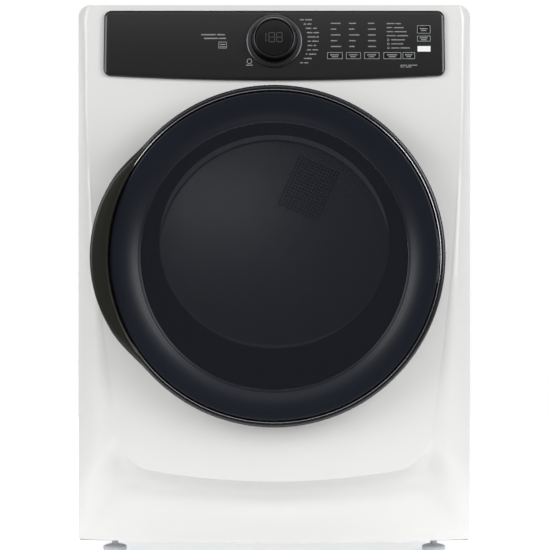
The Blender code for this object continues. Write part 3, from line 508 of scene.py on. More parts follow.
def console_fascia():
    """The glossy panel, with rolled edges."""
    steps = [(0.0, 0.0005), (0.0, 0.0040), (0.0004, 0.0052), (0.0013, 0.0060), (0.0030, 0.0067),
             (0.0048, 0.0073), (0.0056, 0.00747), (0.0066, 0.0075)]
    sections = [[console_point(u, v, n) for u, v in fascia_outline(inset)]
                for inset, n in steps]
    fascia = loft("fascia_skin", sections, BLACK_GLOSS, sharp=40)
    place(fascia, "cabinet", "black_gloss", "console_fascia")


def print_block(bm, corners, low=PRINT_LOW, high=PRINT_HIGH):
    """A flat printed shape on the console face."""
    add_block(bm, [console_point(u, v, low) for u, v in corners],
              [console_point(u, v, high) for u, v in corners])


def bar(bm, u, v, width, height, *levels):
    a, b = width / 2, height / 2
    print_block(bm, [(u - a, v - b), (u + a, v - b), (u + a, v + b), (u - a, v + b)], *levels)


def frame_lines(bm, u, v, width, height, line=0.0006):
    """The printed outline of a key."""
    for side in (-1, 1):
        bar(bm, u + side * (width - line) / 2, v, line, height)
        bar(bm, u, v + side * (height - line) / 2, width - 2 * line, line)


def dashes(bm, left, v, widths, height=0.0024, gap=0.0016):
    """Rows of fine upright ticks, as dense as a line of small print."""
    u = left
    for width in widths:
        for k in range(max(int(width / TICK_PITCH), 1)):
            size = height * (0.72, 1.0, 0.86)[k % 3]
            bar(bm, u + (k + 0.5) * TICK_PITCH, v + (size - height) / 2, TICK_PITCH * 0.55, size)
        u += width + gap


def ring_marks(bm, u, v, radius, line, sides=24):
    """A small printed ring."""
    for k in range(sides):
        a, b = (2 * math.pi * j / sides for j in (k, k + 1))
        ends = ((radius - line, a), (radius, a), (radius, b), (radius - line, b))
        print_block(bm, [(u + r * math.cos(t), v + r * math.sin(t)) for r, t in ends])


def console_v(height):
    """The v of a world height on the console face."""
    return (height - CONSOLE_Z) / math.cos(LEAN)


TICK_PITCH = 0.0014
PROGRAMME_WIDTHS = ((0.007, 0.013), (0.005, 0.008), (0.011, 0.007), (0.010, 0.011),
                    (0.014, 0.005), (0.006, 0.012), (0.009, 0.005), (0.008, 0.010),
                    (0.004, 0.013), (0.014,), (0.006, 0.007))


def programme_legends(bm):
    """Marks fanned out along an arc to the right of the knob."""
    for k, widths in enumerate(PROGRAMME_WIDTHS):
        t = k / (len(PROGRAMME_WIDTHS) - 1) * 2 - 1
        left = 0.0365 + 0.0215 * math.sqrt(max(1 - (t * 0.93) ** 2, 0))
        dashes(bm, left, KNOB_V - 0.0010 - t * 0.0386, widths, 0.0023)


def setting_columns(bm):
    """Three columns of level marks, then one narrower list with small lamps."""
    columns = ((0.0980, (0.018, 0.010, 0.018, 0.012, 0.019)),
               (0.1296, (0.013, 0.011, 0.019, 0.012, 0.011)),
               (0.1625, (0.012, 0.0145, 0.014, 0.0145, 0.015)))
    for left, widths in columns:
        for row, width in enumerate(widths):
            dashes(bm, left, 0.0356 - row * 0.0104, (width,), 0.0021)
    for row, widths in enumerate(((0.014, 0.010), (0.011, 0.018), (0.012, 0.022), (0.016, 0.020),
                                  (0.024,), (0.022,), (0.014, 0.017))):
        lamp_room = 0.0075 if row > 3 else 0.0
        dashes(bm, 0.1951 + lamp_room, 0.0352 - row * 0.0073, widths, 0.0020)
        if lamp_room:
            ring_marks(bm, 0.1975, 0.0352 - row * 0.0073, 0.0019, 0.0005, 12)


def side_notes(bm):
    """Marks left of the knob, the drum symbol, and the small note at the right."""
    dashes(bm, -0.1270, console_v(0.9100), (0.026, 0.015), 0.0024)
    dashes(bm, -0.1220, console_v(0.9035), (0.024, 0.013), 0.0024)
    frame_lines(bm, -0.0895, console_v(0.8915), 0.0140, 0.0115)
    bar(bm, -0.0895, console_v(0.8925), 0.0085, 0.0010)
    bar(bm, -0.0895, console_v(0.8885), 0.0100, 0.0007)
    ring_marks(bm, -0.0430, console_v(0.8630), 0.0046, 0.0008)
    bar(bm, -0.0430, console_v(0.8560), 0.0110, 0.0010)
    dashes(bm, 0.2180, console_v(0.8560), (0.012, 0.016), 0.0018)
    dashes(bm, 0.2180, console_v(0.8530), (0.008, 0.010), 0.0018)


def printed_legends():
    bm = bmesh.new()
    programme_legends(bm)
    setting_columns(bm)
    side_notes(bm)
    place(to_object("console_legends", bm, LEGEND, smooth=False), "cabinet", "light_plastic")


def key_face(name):
    """Middle and size of a key, read from its box on the leaning face."""
    low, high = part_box(name)
    v = console_v((low[2] + high[2] - KEY_FACES_SUM * math.sin(LEAN)) / 2)
    height = (high[2] - low[2] - KEY_THICKNESS * math.sin(LEAN)) / math.cos(LEAN)
    return (low[0] + high[0]) / 2, v, high[0] - low[0], height


def key_prints():
    """Outlines and marks that travel with each key."""
    for name in sorted(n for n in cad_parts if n.startswith("key_")):
        u, v, width, height = key_face(name)
        bm = bmesh.new()
        if name == "key_start_pause":
            bar(bm, u, v, width - 0.0010, height - 0.0012)
        else:
            frame_lines(bm, u, v, width - 0.0006, height - 0.0008)
            for offset, share in ((0.0016, 0.62), (-0.0018, 0.42)):
                dashes(bm, u - width * share / 2, v + offset, (width * share,), 0.0021)
        colour = WHITE_PRINT if name == "key_start_pause" else LEGEND
        place(to_object(name + "_print", bm, colour, smooth=False), name, "light_plastic")


def knob():
    """Base ring, turning ring, and the still cap with its figures."""
    at = console_point(0, KNOB_V, 0)
    base = curve_through([(0.0398, 0.0078), (0.0484, 0.0079), (0.0478, 0.0094),
                          (0.0450, 0.0103), (0.0405, 0.0104)], 5)
    place(spin("knob_base", base, CHROME, at, CONSOLE_AXIS, 96), "cabinet", "dark_chrome",
          "knob_base_ring")
    grip = [(KNOB_CAP_R + 0.0003, 0.0093), (0.0380, 0.0093)]
    grip += curve_through([(0.0384, 0.0110), (0.0383, 0.0180), (0.0372, 0.0232),
                           (0.0352, 0.0260), (0.0332, 0.0263)], 5)
    grip += [(KNOB_CAP_R + 0.0003, 0.0255)]
    place(spin("knob_grip", grip, BRIGHT_CHROME, at, CONSOLE_AXIS, 96), "knob",
          "dark_chrome", "knob_ring")
    cap = [(0, 0.0010), (0.0250, 0.0010), (0.0250, 0.0090), (0.0324, 0.0090)]
    cap += curve_through([(0.0324, 0.0235), (0.0318, 0.0249), (0.0300, 0.0256),
                          (0.0200, 0.0261), (0.0100, 0.0263)], 5)
    cap += [(0, 0.0264)]
    place(spin("knob_display", cap, CAP_BLACK, at, CONSOLE_AXIS, 96), "cabinet",
          "black_gloss", "display_lens")
    place(display_digits(), "cabinet", "light_plastic")


SEGMENTS = {  # place of each bar of a figure: middle across, middle up, lies flat
    "top": (0, 1, True), "middle": (0, 0, True), "foot": (0, -1, True),
    "upper_left": (-1, 0.5, False), "upper_right": (1, 0.5, False),
    "lower_left": (-1, -0.5, False), "lower_right": (1, -0.5, False),
}


def display_digits():
    """A bar-segment figure, one and two eights, faint behind the cap."""
    bm = bmesh.new()
    half_w, half_h, line, face = 0.0048, 0.0082, 0.0011, 0.02665
    figures = ((-0.0192, ("upper_right", "lower_right")), (-0.0044, tuple(SEGMENTS)),
               (0.0088, tuple(SEGMENTS)))
    for middle, lit in figures:
        for key in lit:
            across, up, flat = SEGMENTS[key]
            width, height = (2 * half_w - line, line) if flat else (line, half_h - line)
            bar(bm, middle + across * half_w, KNOB_V + 0.0004 + up * half_h, width, height,
                0.0258, face)
    return to_object("display_digits", bm, SEGMENT, smooth=False)


# ---- door

DOOR_BACK_Y = -0.346
HANDLE_PEAK, HANDLE_SHOULDER = 0.0220, 0.0145
HANDLE_FLAT, HANDLE_END = math.radians(23), math.radians(42)
RING_FRONT_Y, HANDLE_FRONT_Y, HANDLE_BACK_Y = -0.3880, -0.3997, -0.352


def door_back(angle):
    y = front_y(DOOR_R * math.cos(angle), DOOR_Z + DOOR_R * math.sin(angle))
    return min(y - 0.004, DOOR_BACK_Y)


def around(angle, points):
    """Turn (radius, y) points to an angle about the door's centre."""
    c, s = math.cos(angle), math.sin(angle)
    return [(r * c, y, DOOR_Z + r * s) for r, y in points]


def ring_profile(angle):
    """Outer wall, a rounded band, a fine groove and the lip over the lens."""
    back = door_back(angle)
    front = RING_FRONT_Y
    band = [(DOOR_R, back), (DOOR_R, front + 0.0080)]
    band += arc(DOOR_R - 0.0055, front + 0.0060, 0.0055, 0, -78, 8)
    band += [(0.2853, front + 0.0012), (0.2849, front + 0.0026), (0.2845, front + 0.0012)]
    band += [(0.2836, front + 0.0004), (0.2826, front + 0.0003), (0.2817, front + 0.0014)]
    return band + [(0.2813, front + 0.0085), (0.2885, front + 0.0110), (0.2885, back)]


def door_ring():
    """Plated trim ring, broken at its rear by the hinge's notch."""
    sections = [around(a, ring_profile(a)) for a in
                (2 * math.pi * k / 288 for k in range(288))]
    ring = loft("door_trim_ring", sections, CHROME, closed=True, sharp=50)
    cut_notch(ring, (0.2600, 0.3000), (-0.3720, -0.3300), 0.045)
    place(ring, "door", "dark_chrome", "door_ring")


def ring_bead():
    """Thin bright bead in the groove between the ring and the lens."""
    profile = [(0.2834 + 0.0008 * math.cos(k * math.pi / 4),
                RING_FRONT_Y - 0.0002 + 0.0008 * math.sin(k * math.pi / 4)) for k in range(8)]
    place(spin("ring_bead", profile, BEAD_METAL, (0, 0, DOOR_Z), sides=256), "door",
          "dark_chrome")


def cut_notch(target, x, y, half_height):
    """Cut a block out beside the door's centre by an exact Boolean difference."""
    bm = bmesh.new()
    add_box(bm, x, y, (DOOR_Z - half_height, DOOR_Z + half_height))
    tool = linked("notch", mesh_from("block", bm))
    modifier = target.modifiers.new("cut", "BOOLEAN")
    modifier.operation, modifier.object, modifier.solver = "DIFFERENCE", tool, "EXACT"
    apply_modifiers(target)
    drop(tool)


def apply_modifiers(target):
    bpy.context.view_layer.update()
    graph = bpy.context.evaluated_depsgraph_get()
    mesh = bpy.data.meshes.new_from_object(target.evaluated_get(graph))
    target.modifiers.clear()
    target.data = mesh


def handle_reach(offset):
    """How far the handle stands out beyond the ring at an angle from its middle."""
    offset = abs(offset)
    if offset < HANDLE_FLAT:
        return HANDLE_PEAK - (HANDLE_PEAK - HANDLE_SHOULDER) * (offset / HANDLE_FLAT) ** 2
    return HANDLE_SHOULDER * (1 - smoothstep(HANDLE_FLAT * 0.92, HANDLE_END, offset)) + 0.0004


def handle_profile(offset):
    """Front face from the lens's edge outwards, rolled over and hooked back."""
    reach = handle_reach(offset)
    fade = 1 - smoothstep(HANDLE_FLAT * 0.5, HANDLE_END, abs(offset))
    crest = RING_FRONT_Y - 0.0006 + (HANDLE_FRONT_Y - RING_FRONT_Y + 0.0006) * fade
    inner, outer = 0.2822, DOOR_R + reach
    span = outer - inner
    face = curve_through([(inner, RING_FRONT_Y + 0.0006), (inner + 0.0012, crest + 0.0022),
                          (inner + 0.0036, crest + 0.0003), (inner + span * 0.34, crest),
                          (inner + span * 0.60, crest + 0.0010), (outer - 0.0036, crest + 0.0026),
                          (outer - 0.0009, crest + 0.0052), (outer, crest + 0.0110)], 5)
    hook = [(outer, HANDLE_BACK_Y - 0.0010), (outer - 0.0010, HANDLE_BACK_Y),
            (outer - 0.0035, HANDLE_BACK_Y), (outer - 0.0045, -0.3660)]
    inside = [(max(outer - 0.0070, DOOR_R + 0.0002), -0.3730), (DOOR_R + 0.0002, -0.3760),
              (DOOR_R + 0.0002, -0.3830), (inner + 0.0050, -0.3872), (inner, -0.3868)]
    return face + hook + inside


def door_handle():
    """One dark grip that covers the ring's left side and hooks back for the fingers."""
    steps = 96
    sections = []
    for k in range(steps + 1):
        offset = HANDLE_END * (2 * k / steps - 1)
        sections.append(around(math.pi + offset, handle_profile(offset)))
    grip = loft("door_grip", sections, HANDLE_GLOSS, sharp=50)
    place(grip, "door", "handle_gloss", "door_handle")


LENS_DISH = [(0.2806, -0.3800), (0.2806, -0.3850), (0.2790, -0.3870), (0.2745, -0.3875),
             (0.2670, -0.3870), (0.2600, -0.3856), (0.2520, -0.3831), (0.2440, -0.3798),
             (0.2370, -0.3763), (0.2330, -0.3742)]
SHADE_R, SHADE_FRONT_Y, SHADE_BACK_Y = 0.2400, -0.3672, -0.3667
SHADE_HALF_W, SHADE_HALF_H = 0.1970, 0.1830
SHADE_RISE = 0.025       # how far the painted shade ring's opening sits above the door's centre
LENS_FLOOR = [(0.2290, -0.3722), (0.2200, -0.3727), (0.1500, -0.3755), (0.0750, -0.3772),
              (0.0001, -0.3777)]


def door_lens():
    """Dark dished border with a small step, and the tinted middle."""
    dish = curve_through(LENS_DISH, 6)
    step = [(0.2322, -0.3743), (0.2314, -0.3738), (0.2305, -0.3728), (0.2293, -0.3722)]
    back = [(0.2293, -0.3700), (0.2400, -0.3718), (0.2560, -0.3785), (0.2680, -0.3826),
            (0.2765, -0.3838), (0.2772, -0.3800)]
    piece = spin("door_lens_border", dish + step + back, LENS_BORDER_AND_SHADE, (0, 0, DOOR_Z),
                 sides=256, sharp=40)
    place(piece, "door", "smoked_glass", "door_lens")
    floor = curve_through(LENS_FLOOR, 6)[:-1] + [(0, -0.3777)]
    under = [(0, -0.3750), (0.1500, -0.3728), (0.2290, -0.3695)]
    window = spin("door_lens_window", floor + under, SMOKED, (0, 0, DOOR_Z), sides=192)
    place(window, "door", "smoked_glass")


def lens_shade():
    """Dark ring of painted shade for the bowl's deep lower side, between the window's edge and the
    bowl's mouth, widest at the bottom.
    """
    sections = []
    for step in range(96):
        turn = 2 * math.pi * step / 96
        outer = (SHADE_R * math.cos(turn), DOOR_Z + SHADE_R * math.sin(turn))
        inner = (SHADE_HALF_W * math.cos(turn),
                 DOOR_Z + (SHADE_HALF_H * math.sin(turn) + SHADE_RISE))
        sections.append([(x, y, z) for (x, z), y in ((outer, SHADE_FRONT_Y), (inner, SHADE_FRONT_Y),
                                                     (inner, SHADE_BACK_Y), (outer, SHADE_BACK_Y))])
    place(loft("lens_shade", sections, LENS_BORDER_AND_SHADE, closed=True), "door", "black_gloss")


def bowl_lip():
    """Painted highlight: a pale crescent for the light caught on the bowl's lower rim, inside the
    ring of painted shade.
    """
    sections = []
    for step in range(61):
        turn = math.radians(205 + 130 * step / 60)
        width = 0.0006 + 0.0052 * math.sin(math.pi * step / 60) ** 2
        points = []
        for inward, y in ((0.0004, -0.3665), (width, -0.3660), (0.0004, -0.3655)):
            points.append(((SHADE_HALF_W - inward) * math.cos(turn), y,
                           DOOR_Z + SHADE_RISE + (SHADE_HALF_H - inward) * math.sin(turn)))
        sections.append(points)
    place(loft("bowl_lip", sections, LIP_HIGHLIGHT), "door", "door_glass")


def door_bowl():
    outer = curve_through([(0.1975, -0.3600), (0.1900, -0.3430), (0.1790, -0.3210),
                           (0.1640, -0.3020), (0.1420, -0.2915), (0.1100, -0.2870),
                           (0.0550, -0.2855), (0.0001, -0.2850)], 5)[:-1]
    inner = curve_through([(0.0001, -0.2885), (0.0550, -0.2890), (0.1095, -0.2905),
                           (0.1405, -0.2948), (0.1610, -0.3045), (0.1755, -0.3225),
                           (0.1865, -0.3440), (0.1945, -0.3640)], 5)[1:]
    profile = outer + [(0, -0.2850), (0, -0.2885)] + inner
    profile += [(0.1996, -0.3662), (0.1996, -0.3600)]
    bowl = spin("door_bowl", profile, CLEAR, (0, 0, DOOR_Z), sides=160)
    place(bowl, "door", "door_glass", "door_glass_bowl")


def door_inner_trim():
    """Raised bead on the plate behind the lens, seen with the door open."""
    bead = curve_through([(0.2620, -0.3598), (0.2610, -0.3588), (0.2560, -0.3582),
                          (0.2510, -0.3588), (0.2500, -0.3598)], 3)
    piece = spin("inner_frame_bead", bead, LIGHT_PLASTIC, (0, 0, DOOR_Z), sides=128)
    cut_notch(piece, (0.2480, 0.3000), (-0.3700, -0.3400), 0.062)
    place(piece, "door", "light_plastic")


# ---- drum and its back wall

def drum_back_wall():
    """Pressed disc in front of the rear bulkhead, with rings and a centre dimple."""
    steps = [(0.3080, 0.3042), (0.3020, 0.3012), (0.2860, 0.3010), (0.2820, 0.3035),
             (0.2300, 0.3038), (0.2260, 0.3020), (0.1600, 0.3010), (0.0260, 0.3000),
             (0.0210, 0.3022), (0.0130, 0.3030), (0.0001, 0.3030)]
    face = curve_through([(r, y) for r, y in steps], 4)[:-1]
    profile = face + [(0, 0.3030), (0, 0.3052), (0.3080, 0.3052)]
    disc = spin("drum_back_disc", profile, DRUM_STEEL, (0, 0, DRUM_Z), sides=128)
    place(disc, "cabinet", "drum_steel")


def holed_cell(pitch, hole, thickness):
    """One square of sheet with an eight-sided hole, used over and over."""
    bm = bmesh.new()
    levels = []
    for y in (0.0, -thickness):
        square = [(pitch / 2 * sx, pitch / 2 * sz) for sx, sz in
                  ((1, 0), (1, 1), (0, 1), (-1, 1), (-1, 0), (-1, -1), (0, -1), (1, -1))]
        rim = [(hole * math.cos(math.pi / 4 * k), hole * math.sin(math.pi / 4 * k))
               for k in range(8)]
        levels.append(([bm.verts.new((a, y, b)) for a, b in square],
                       [bm.verts.new((a, y, b)) for a, b in rim]))
    for square, rim in levels:
        for i in range(8):
            j = (i + 1) % 8
            bm.faces.new((square[i], square[j], rim[j], rim[i]))
    for i in range(8):
        j = (i + 1) % 8
        bm.faces.new((levels[0][1][i], levels[0][1][j], levels[1][1][j], levels[1][1][i]))
    return linked("holed_cell", mesh_from("holed_cell", bm))


def repeat_tree(name):
    """Copies of one shape on every point of the object, turned the same way."""
    tree = bpy.data.node_groups.new(name, "GeometryNodeTree")
    group_sockets(tree, [("Geometry", "Geometry"), ("Shape", "Object"), ("Turn", "Vector"),
                         ("Join Distance", "Float"), ("Finish", "Material")],
                  [("Geometry", "Geometry")])
    nodes = tree.nodes
    start, end = nodes.new("NodeGroupInput"), nodes.new("NodeGroupOutput")
    info, copies = nodes.new("GeometryNodeObjectInfo"), nodes.new("GeometryNodeInstanceOnPoints")
    real = nodes.new("GeometryNodeRealizeInstances")
    merge = nodes.new("GeometryNodeMergeByDistance")
    paint = nodes.new("GeometryNodeSetMaterial")
    join(tree, (start, "Shape", info, "Object"), (start, "Geometry", copies, "Points"),
         (info, "Geometry", copies, "Instance"), (start, "Turn", copies, "Rotation"),
         (copies, "Instances", real, "Geometry"), (real, "Geometry", merge, "Geometry"),
         (start, "Join Distance", merge, "Distance"), (merge, "Geometry", paint, "Geometry"),
         (start, "Finish", paint, "Material"), (paint, "Geometry", end, "Geometry"))
    return tree


REPEAT = repeat_tree("repeat_on_points")


def repeated(name, points, shape, paint, turn=(0, 0, 0), join=0.0):
    """Run the repeat tree over a list of points and keep its plain mesh."""
    mesh = bpy.data.meshes.new(name + "_points")
    mesh.from_pydata([tuple(p) for p in points], [], [])
    obj = linked(name, mesh)
    modifier = obj.modifiers.new("repeat", "NODES")
    modifier.node_group = REPEAT
    values = {"Shape": shape, "Turn": turn, "Join Distance": join, "Finish": paint}
    for item in REPEAT.interface.items_tree:
        if item.in_out == "INPUT" and item.name in values:
            modifier[item.identifier] = values[item.name]
    apply_modifiers(obj)
    obj.data.materials.clear()
    obj.data.materials.append(paint)
    return obj


def drop(*objs):
    for obj in objs:
        bpy.data.objects.remove(obj, do_unlink=True)


INLET_X, INLET_Z, INLET_TURN = 0.072, 0.676, math.radians(-24)
INLET_PITCH, INLET_COLUMNS, INLET_ROWS = 0.0068, 14, 17


def on_inlet(a, b, y):
    """Point of the turned inlet: a across it, b up it, y deep."""
    return (INLET_X + a * math.cos(INLET_TURN) - b * math.sin(INLET_TURN), y,
            INLET_Z + a * math.sin(INLET_TURN) + b * math.cos(INLET_TURN))


def heat_inlet():
    """Perforated patch in the back wall, in a pressed frame, with a dark block of painted shade
    behind.
    """
    cell = holed_cell(INLET_PITCH, 0.0027, 0.0008)
    points = [on_inlet((i - (INLET_COLUMNS - 1) / 2) * INLET_PITCH,
                       (k - (INLET_ROWS - 1) / 2) * INLET_PITCH, 0.2998)
              for i in range(INLET_COLUMNS) for k in range(INLET_ROWS)]
    patch = repeated("heat_inlet_screen", points, cell, DRUM_STEEL, (0, -INLET_TURN, 0), 0.0002)
    place(patch, "cabinet", "drum_steel")
    drop(cell)
    half_a, half_b = INLET_PITCH * INLET_COLUMNS / 2, INLET_PITCH * INLET_ROWS / 2
    rim = 0.0045
    outline = [(-1, -1), (1, -1), (1, 1), (-1, 1)]
    section = [(0.0, 0.2988), (0.0, 0.3005), (rim, 0.3005), (rim, 0.2994), (rim * 0.5, 0.2986)]
    corners = [[on_inlet(sa * (half_a + grow), sb * (half_b + grow), y) for grow, y in section]
               for sa, sb in outline]
    place(loft("heat_inlet_frame", corners, DRUM_STEEL, closed=True, smooth=False), "cabinet",
          "drum_steel")
    # Dark block behind the holes: painted shade for the unlit duct behind the inlet
    backing = bmesh.new()
    add_block(backing, *([on_inlet(sa * half_a, sb * half_b, y) for sa, sb in outline]
                         for y in (0.29995, 0.3004)))
    place(to_object("heat_inlet_dark", backing, SHADOW_GAP, smooth=False), "cabinet",
          "black_plastic")


LIFTER_ANGLES = (-28, 92, 212)
LIFTER_INSET = 0.0030


def lifters():
    """Rounded paddles with a soft crown, in place of the plain ones."""
    base = DRUM_R - LIFTER_INSET
    half = curve_through([(0.0335, 0.0), (0.0300, 0.0100), (0.0200, 0.0400), (0.0110, 0.0620),
                          (0.0001, 0.0690)], 4)[:-1]
    outline = half + [(0.0, 0.0690)] + [(-w, h) for w, h in reversed(half)]
    for k, degrees in enumerate(LIFTER_ANGLES):
        a = math.radians(degrees)
        along = Vector((math.cos(a), 0, math.sin(a)))
        across = Vector((-math.sin(a), 0, math.cos(a)))
        sections = []
        for y, scale in ((-0.2050, 0.35), (-0.2040, 0.62), (-0.1980, 0.82), (-0.1850, 0.95),
                         (-0.1600, 1.0), (0.2300, 1.0), (0.2550, 0.95), (0.2680, 0.82),
                         (0.2740, 0.62), (0.2750, 0.35)):
            sections.append([Vector((0, y, DRUM_Z)) + across * w * (0.6 + 0.4 * scale)
                             + along * (base - LIFTER_INSET - h * scale) for w, h in outline])
        paddle = loft(f"drum_paddle_{k + 1}", sections, DRUM_STEEL, sharp=60)
        place(paddle, "drum", "light_plastic", f"drum_lifter_{k + 1}")


# ---- rear, sides and feet

def screw_shape():
    """A pan-head sheet screw with a cross slot, facing +Y."""
    bm = bmesh.new()
    sides = 16
    rings = [(0.0042, 0.0), (0.0042, 0.0009), (0.0034, 0.0018), (0.0018, 0.0022)]
    rows = []
    for r, y in rings:
        rows.append([bm.verts.new((r * math.cos(2 * math.pi * k / sides), y,
                                   r * math.sin(2 * math.pi * k / sides)))
                     for k in range(sides)])
    for low, high in zip(rows, rows[1:]):
        for i in range(sides):
            j = (i + 1) % sides
            bm.faces.new((low[i], low[j], high[j], high[i]))
    bm.faces.new(rows[0])
    dent = bm.verts.new((0, 0.0010, 0))
    for i in range(sides):
        bm.faces.new((rows[-1][i], rows[-1][(i + 1) % sides], dent))
    return to_object("screw_shape", bm, STEEL)


DUCT_Z, DUCT_SCREW_R = 0.104, 0.066
SERVICE_Z, SERVICE_HALF_W, SERVICE_HALF_H, SERVICE_CORNER = 0.58, 0.160, 0.250, 0.022
LOUVRE_X, LOUVRE_Z, LOUVRE_STEP = 0.062, 0.40, 0.024


def rear_screw_places():
    """Screws down both sides, along the top and foot, and round the cover plates."""
    spots = []
    for k in range(7):
        z = BODY_Z + 0.045 + k * 0.140
        spots += [(-HALF_W + 0.014, z), (HALF_W - 0.014, z)]
    for k in range(5):
        x = -0.24 + k * 0.12
        spots += [(x, HEIGHT - 0.016), (x, BODY_Z + 0.014)]
    for x in (-0.145, 0.145):
        spots += [(x, 0.36), (x, 0.58), (x, 0.80)]
    for a in (math.radians(degrees) for degrees in (45, 135, 225, 315)):
        spots.append((DUCT_SCREW_R * math.cos(a), DUCT_Z + DUCT_SCREW_R * math.sin(a)))
    return [(x, REAR_Y - 0.0001, z) for x, z in spots]


def rear_details():
    """Screws, a raised service cover with louvres, and a collar flange."""
    shape = screw_shape()
    screws = repeated("rear_screws", rear_screw_places(), shape, STEEL)
    place(screws, "cabinet", "steel")
    low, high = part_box("terminal_cover")
    corners = [(x, high[1] - 0.0001, z) for x in (low[0] + 0.012, high[0] - 0.012)
               for z in (low[2] + 0.012, high[2] - 0.012)]
    place(repeated("cover_screws", corners, shape, STEEL), "cabinet", "steel")
    drop(shape)
    sections = []
    for grow, y in ((0.0, REAR_Y - 0.0002), (0.0, REAR_Y + 0.0006), (0.005, REAR_Y + 0.0042),
                    (0.010, REAR_Y + 0.0048)):
        w, h, r = SERVICE_HALF_W - grow, SERVICE_HALF_H - grow, SERVICE_CORNER - grow
        outline = []
        for sx, sz, start in ((1, 1, 0), (-1, 1, 90), (-1, -1, 180), (1, -1, 270)):
            outline += arc(sx * (w - r), sz * (h - r), r, start, start + 90, 6)
        sections.append([(x, y, SERVICE_Z + z) for x, z in outline])
    place(loft("service_cover", sections, ZINC, sharp=40), "cabinet", "galvanised_sheet")
    louvre = louvre_shape()
    points = [(x, REAR_Y + 0.0046, LOUVRE_Z + k * LOUVRE_STEP)
              for k in range(7) for x in (-LOUVRE_X, LOUVRE_X)]
    place(repeated("service_louvres", points, louvre, ZINC), "cabinet", "galvanised_sheet")
    drop(louvre)
    flange = [(0.0532, REAR_Y + 0.0001), (0.0770, REAR_Y + 0.0001), (0.0765, REAR_Y + 0.0014),
              (0.0560, REAR_Y + 0.0018), (0.0532, REAR_Y + 0.0040)]
    place(spin("collar_flange", flange, ZINC, (0, 0, DUCT_Z), sides=64), "cabinet",
          "galvanised_sheet")


def louvre_shape():
    """A pressed louvre: a long half-round hood that opens downwards."""
    sections = []
    for k in range(9):
        t = k / 8 * 2 - 1
        rise = 0.0060 * math.sqrt(max(1 - t * t, 0)) ** 0.6 + 0.0002
        x = t * 0.046
        sections.append([(x, 0.0, 0.0070), (x, rise * 0.55, 0.0050), (x, rise, 0.0),
                         (x, rise, -0.0035), (x, 0.0, -0.0035)])
    return loft("louvre_shape", sections, ZINC, sharp=60)


def cabinet_seams():
    """Dark joints where the sheets meet, behind the gaps."""
    bm = bmesh.new()
    seam_z = HEIGHT - TOP_RADIUS
    for side in (-1, 1):
        x = side * (HALF_W - 0.0022)
        add_box(bm, sorted((x, x - side * 0.0020)), (EDGE_Y + 0.004, REAR_Y - 0.004),
                (seam_z - 0.004, seam_z + 0.004))
    place(to_object("top_seam_backing", bm, SHADOW_GAP, smooth=False), "cabinet",
          "black_plastic")


def leg_threads():
    """A rounded pad under each leg, and fine rings on its stem."""
    for name in sorted(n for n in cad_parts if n.startswith("leg_")):
        low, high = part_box(name)
        at = ((low[0] + high[0]) / 2, (low[1] + high[1]) / 2, 0)
        profile = [(0, 0.0002), (0.0188, 0.0002), (0.0208, 0.0030), (0.0210, 0.0090),
                   (0.0195, 0.0108), (0.0130, 0.0128)]
        for k in range(8):
            z = 0.0140 + k * 0.0017
            profile += [(0.0062, z), (0.0054, z + 0.00085)]
        profile += [(0.0060, 0.0280), (0, 0.0280)]
        piece = spin(name + "_threaded", profile, LIGHT_PLASTIC, at, (0, 0, 1), 40, 50)
        place(piece, name, "light_plastic", name)


# ---- light, floor, camera

CAMERA_Z, CAMERA_BACK = 0.494, 3.0
SENSOR_WIDTH, VIEW_WIDTH = 36.0, 0.9636    # the view's width, in metres, at the panel
FLOOR_R, FLOOR_BACK = 1.9, 0.9
WORLD_FRONT = 0.27       # brightness of the room in front of the machine


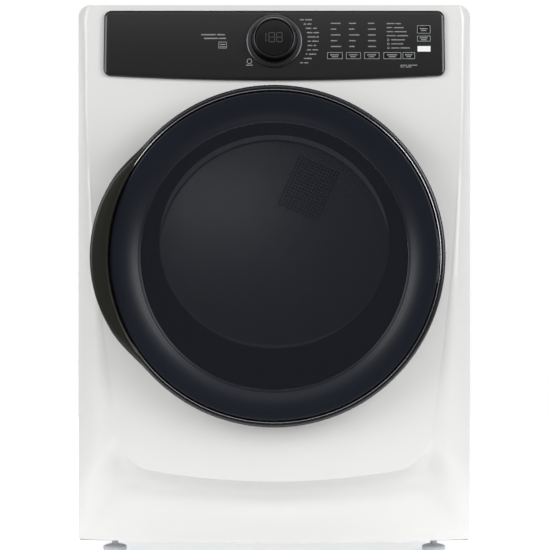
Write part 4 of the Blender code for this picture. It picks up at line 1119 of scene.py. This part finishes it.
def studio():
    """Pale floor, and a room that is bright behind the machine and dimmer in front."""
    bm = bmesh.new()
    rim = [(FLOOR_R * math.sin(math.pi * k / 48), FLOOR_BACK + FLOOR_R * math.cos(math.pi * k / 48))
           for k in range(96)]
    bm.faces.new([bm.verts.new((x, y, 0)) for x, y in reversed(rim)])
    floor = to_object("floor", bm, FLOOR_PAINT, smooth=False)
    # Glowing patch under the machine: painted light that fills the floor's shadow there
    patch = bmesh.new()
    patch.faces.new([patch.verts.new(p) for p in ((-0.33, -0.285, 0.0004), (0.33, -0.285, 0.0004),
                                                 (0.33, 0.35, 0.0004), (-0.33, 0.35, 0.0004))])
    to_object("floor_under_machine", patch, SHADOW_FILL, smooth=False)
    world = bpy.data.worlds.new("studio")
    bpy.context.scene.world = world
    world.use_nodes = True
    nodes = world.node_tree.nodes
    where, split = nodes.new("ShaderNodeTexCoord"), nodes.new("ShaderNodeSeparateXYZ")
    ramp = nodes.new("ShaderNodeMapRange")
    settle(ramp, {"From Min": 0.15, "From Max": 0.85, "To Min": WORLD_FRONT, "To Max": 1.0})
    join(world.node_tree, (where, "Generated", split, 0), (split, "Y", ramp, "Value"),
         (ramp, 0, nodes["Background"], "Strength"))
    nodes["Background"].inputs["Color"].default_value = (1, 1, 1, 1)
    bpy.context.scene.view_settings.view_transform = "Standard"


def lamp(name, place_at, aim, size, power):
    light = bpy.data.lights.new(name, "AREA")
    light.shape = "RECTANGLE"
    light.size, light.size_y = size
    light.energy = power
    obj = linked(name, light)
    obj.location = place_at
    obj.rotation_euler = (Vector(aim) - Vector(place_at)).to_track_quat("-Z", "Y").to_euler()


def lights():
    lamp("left_soft_box", (-2.3, -2.1, 1.4), (0, -0.3, 0.6), (1.2, 2.2), 52)
    lamp("right_soft_box", (2.3, -2.1, 1.5), (0, -0.3, 0.6), (1.2, 2.4), 66)
    lamp("overhead_soft_box", (0, -1.9, 2.4), (0, -0.3, 0.4), (4.2, 1.2), 20)
    lamp("back_floor_wash", (0, 2.0, 3.4), (0, 1.2, 0), (5.0, 2.4), 90)
    lamp("drum_lamp", (-0.12, -0.16, 0.68), (-0.03, 0.30, 0.60), (0.26, 0.10), 0.26)


def camera():
    view = bpy.data.cameras.new("front_view")
    view.sensor_width = SENSOR_WIDTH
    view.lens = SENSOR_WIDTH * CAMERA_BACK / VIEW_WIDTH
    view.shift_x = 0.0013
    obj = linked("front_view", view)
    obj.location = (0.0, EDGE_Y - CAMERA_BACK, CAMERA_Z)
    obj.rotation_euler = (math.pi / 2, 0, 0)
    bpy.context.scene.camera = obj


def build():
    camera()
    studio()
    lights()
    finish_kept_nodes()
    front_panel()
    console_fascia()
    printed_legends()
    key_prints()
    knob()
    door_ring()
    ring_bead()
    door_handle()
    door_lens()
    lens_shade()
    bowl_lip()
    door_bowl()
    door_inner_trim()
    drum_back_wall()
    heat_inlet()
    lifters()
    rear_details()
    cabinet_seams()
    leg_threads()


build()
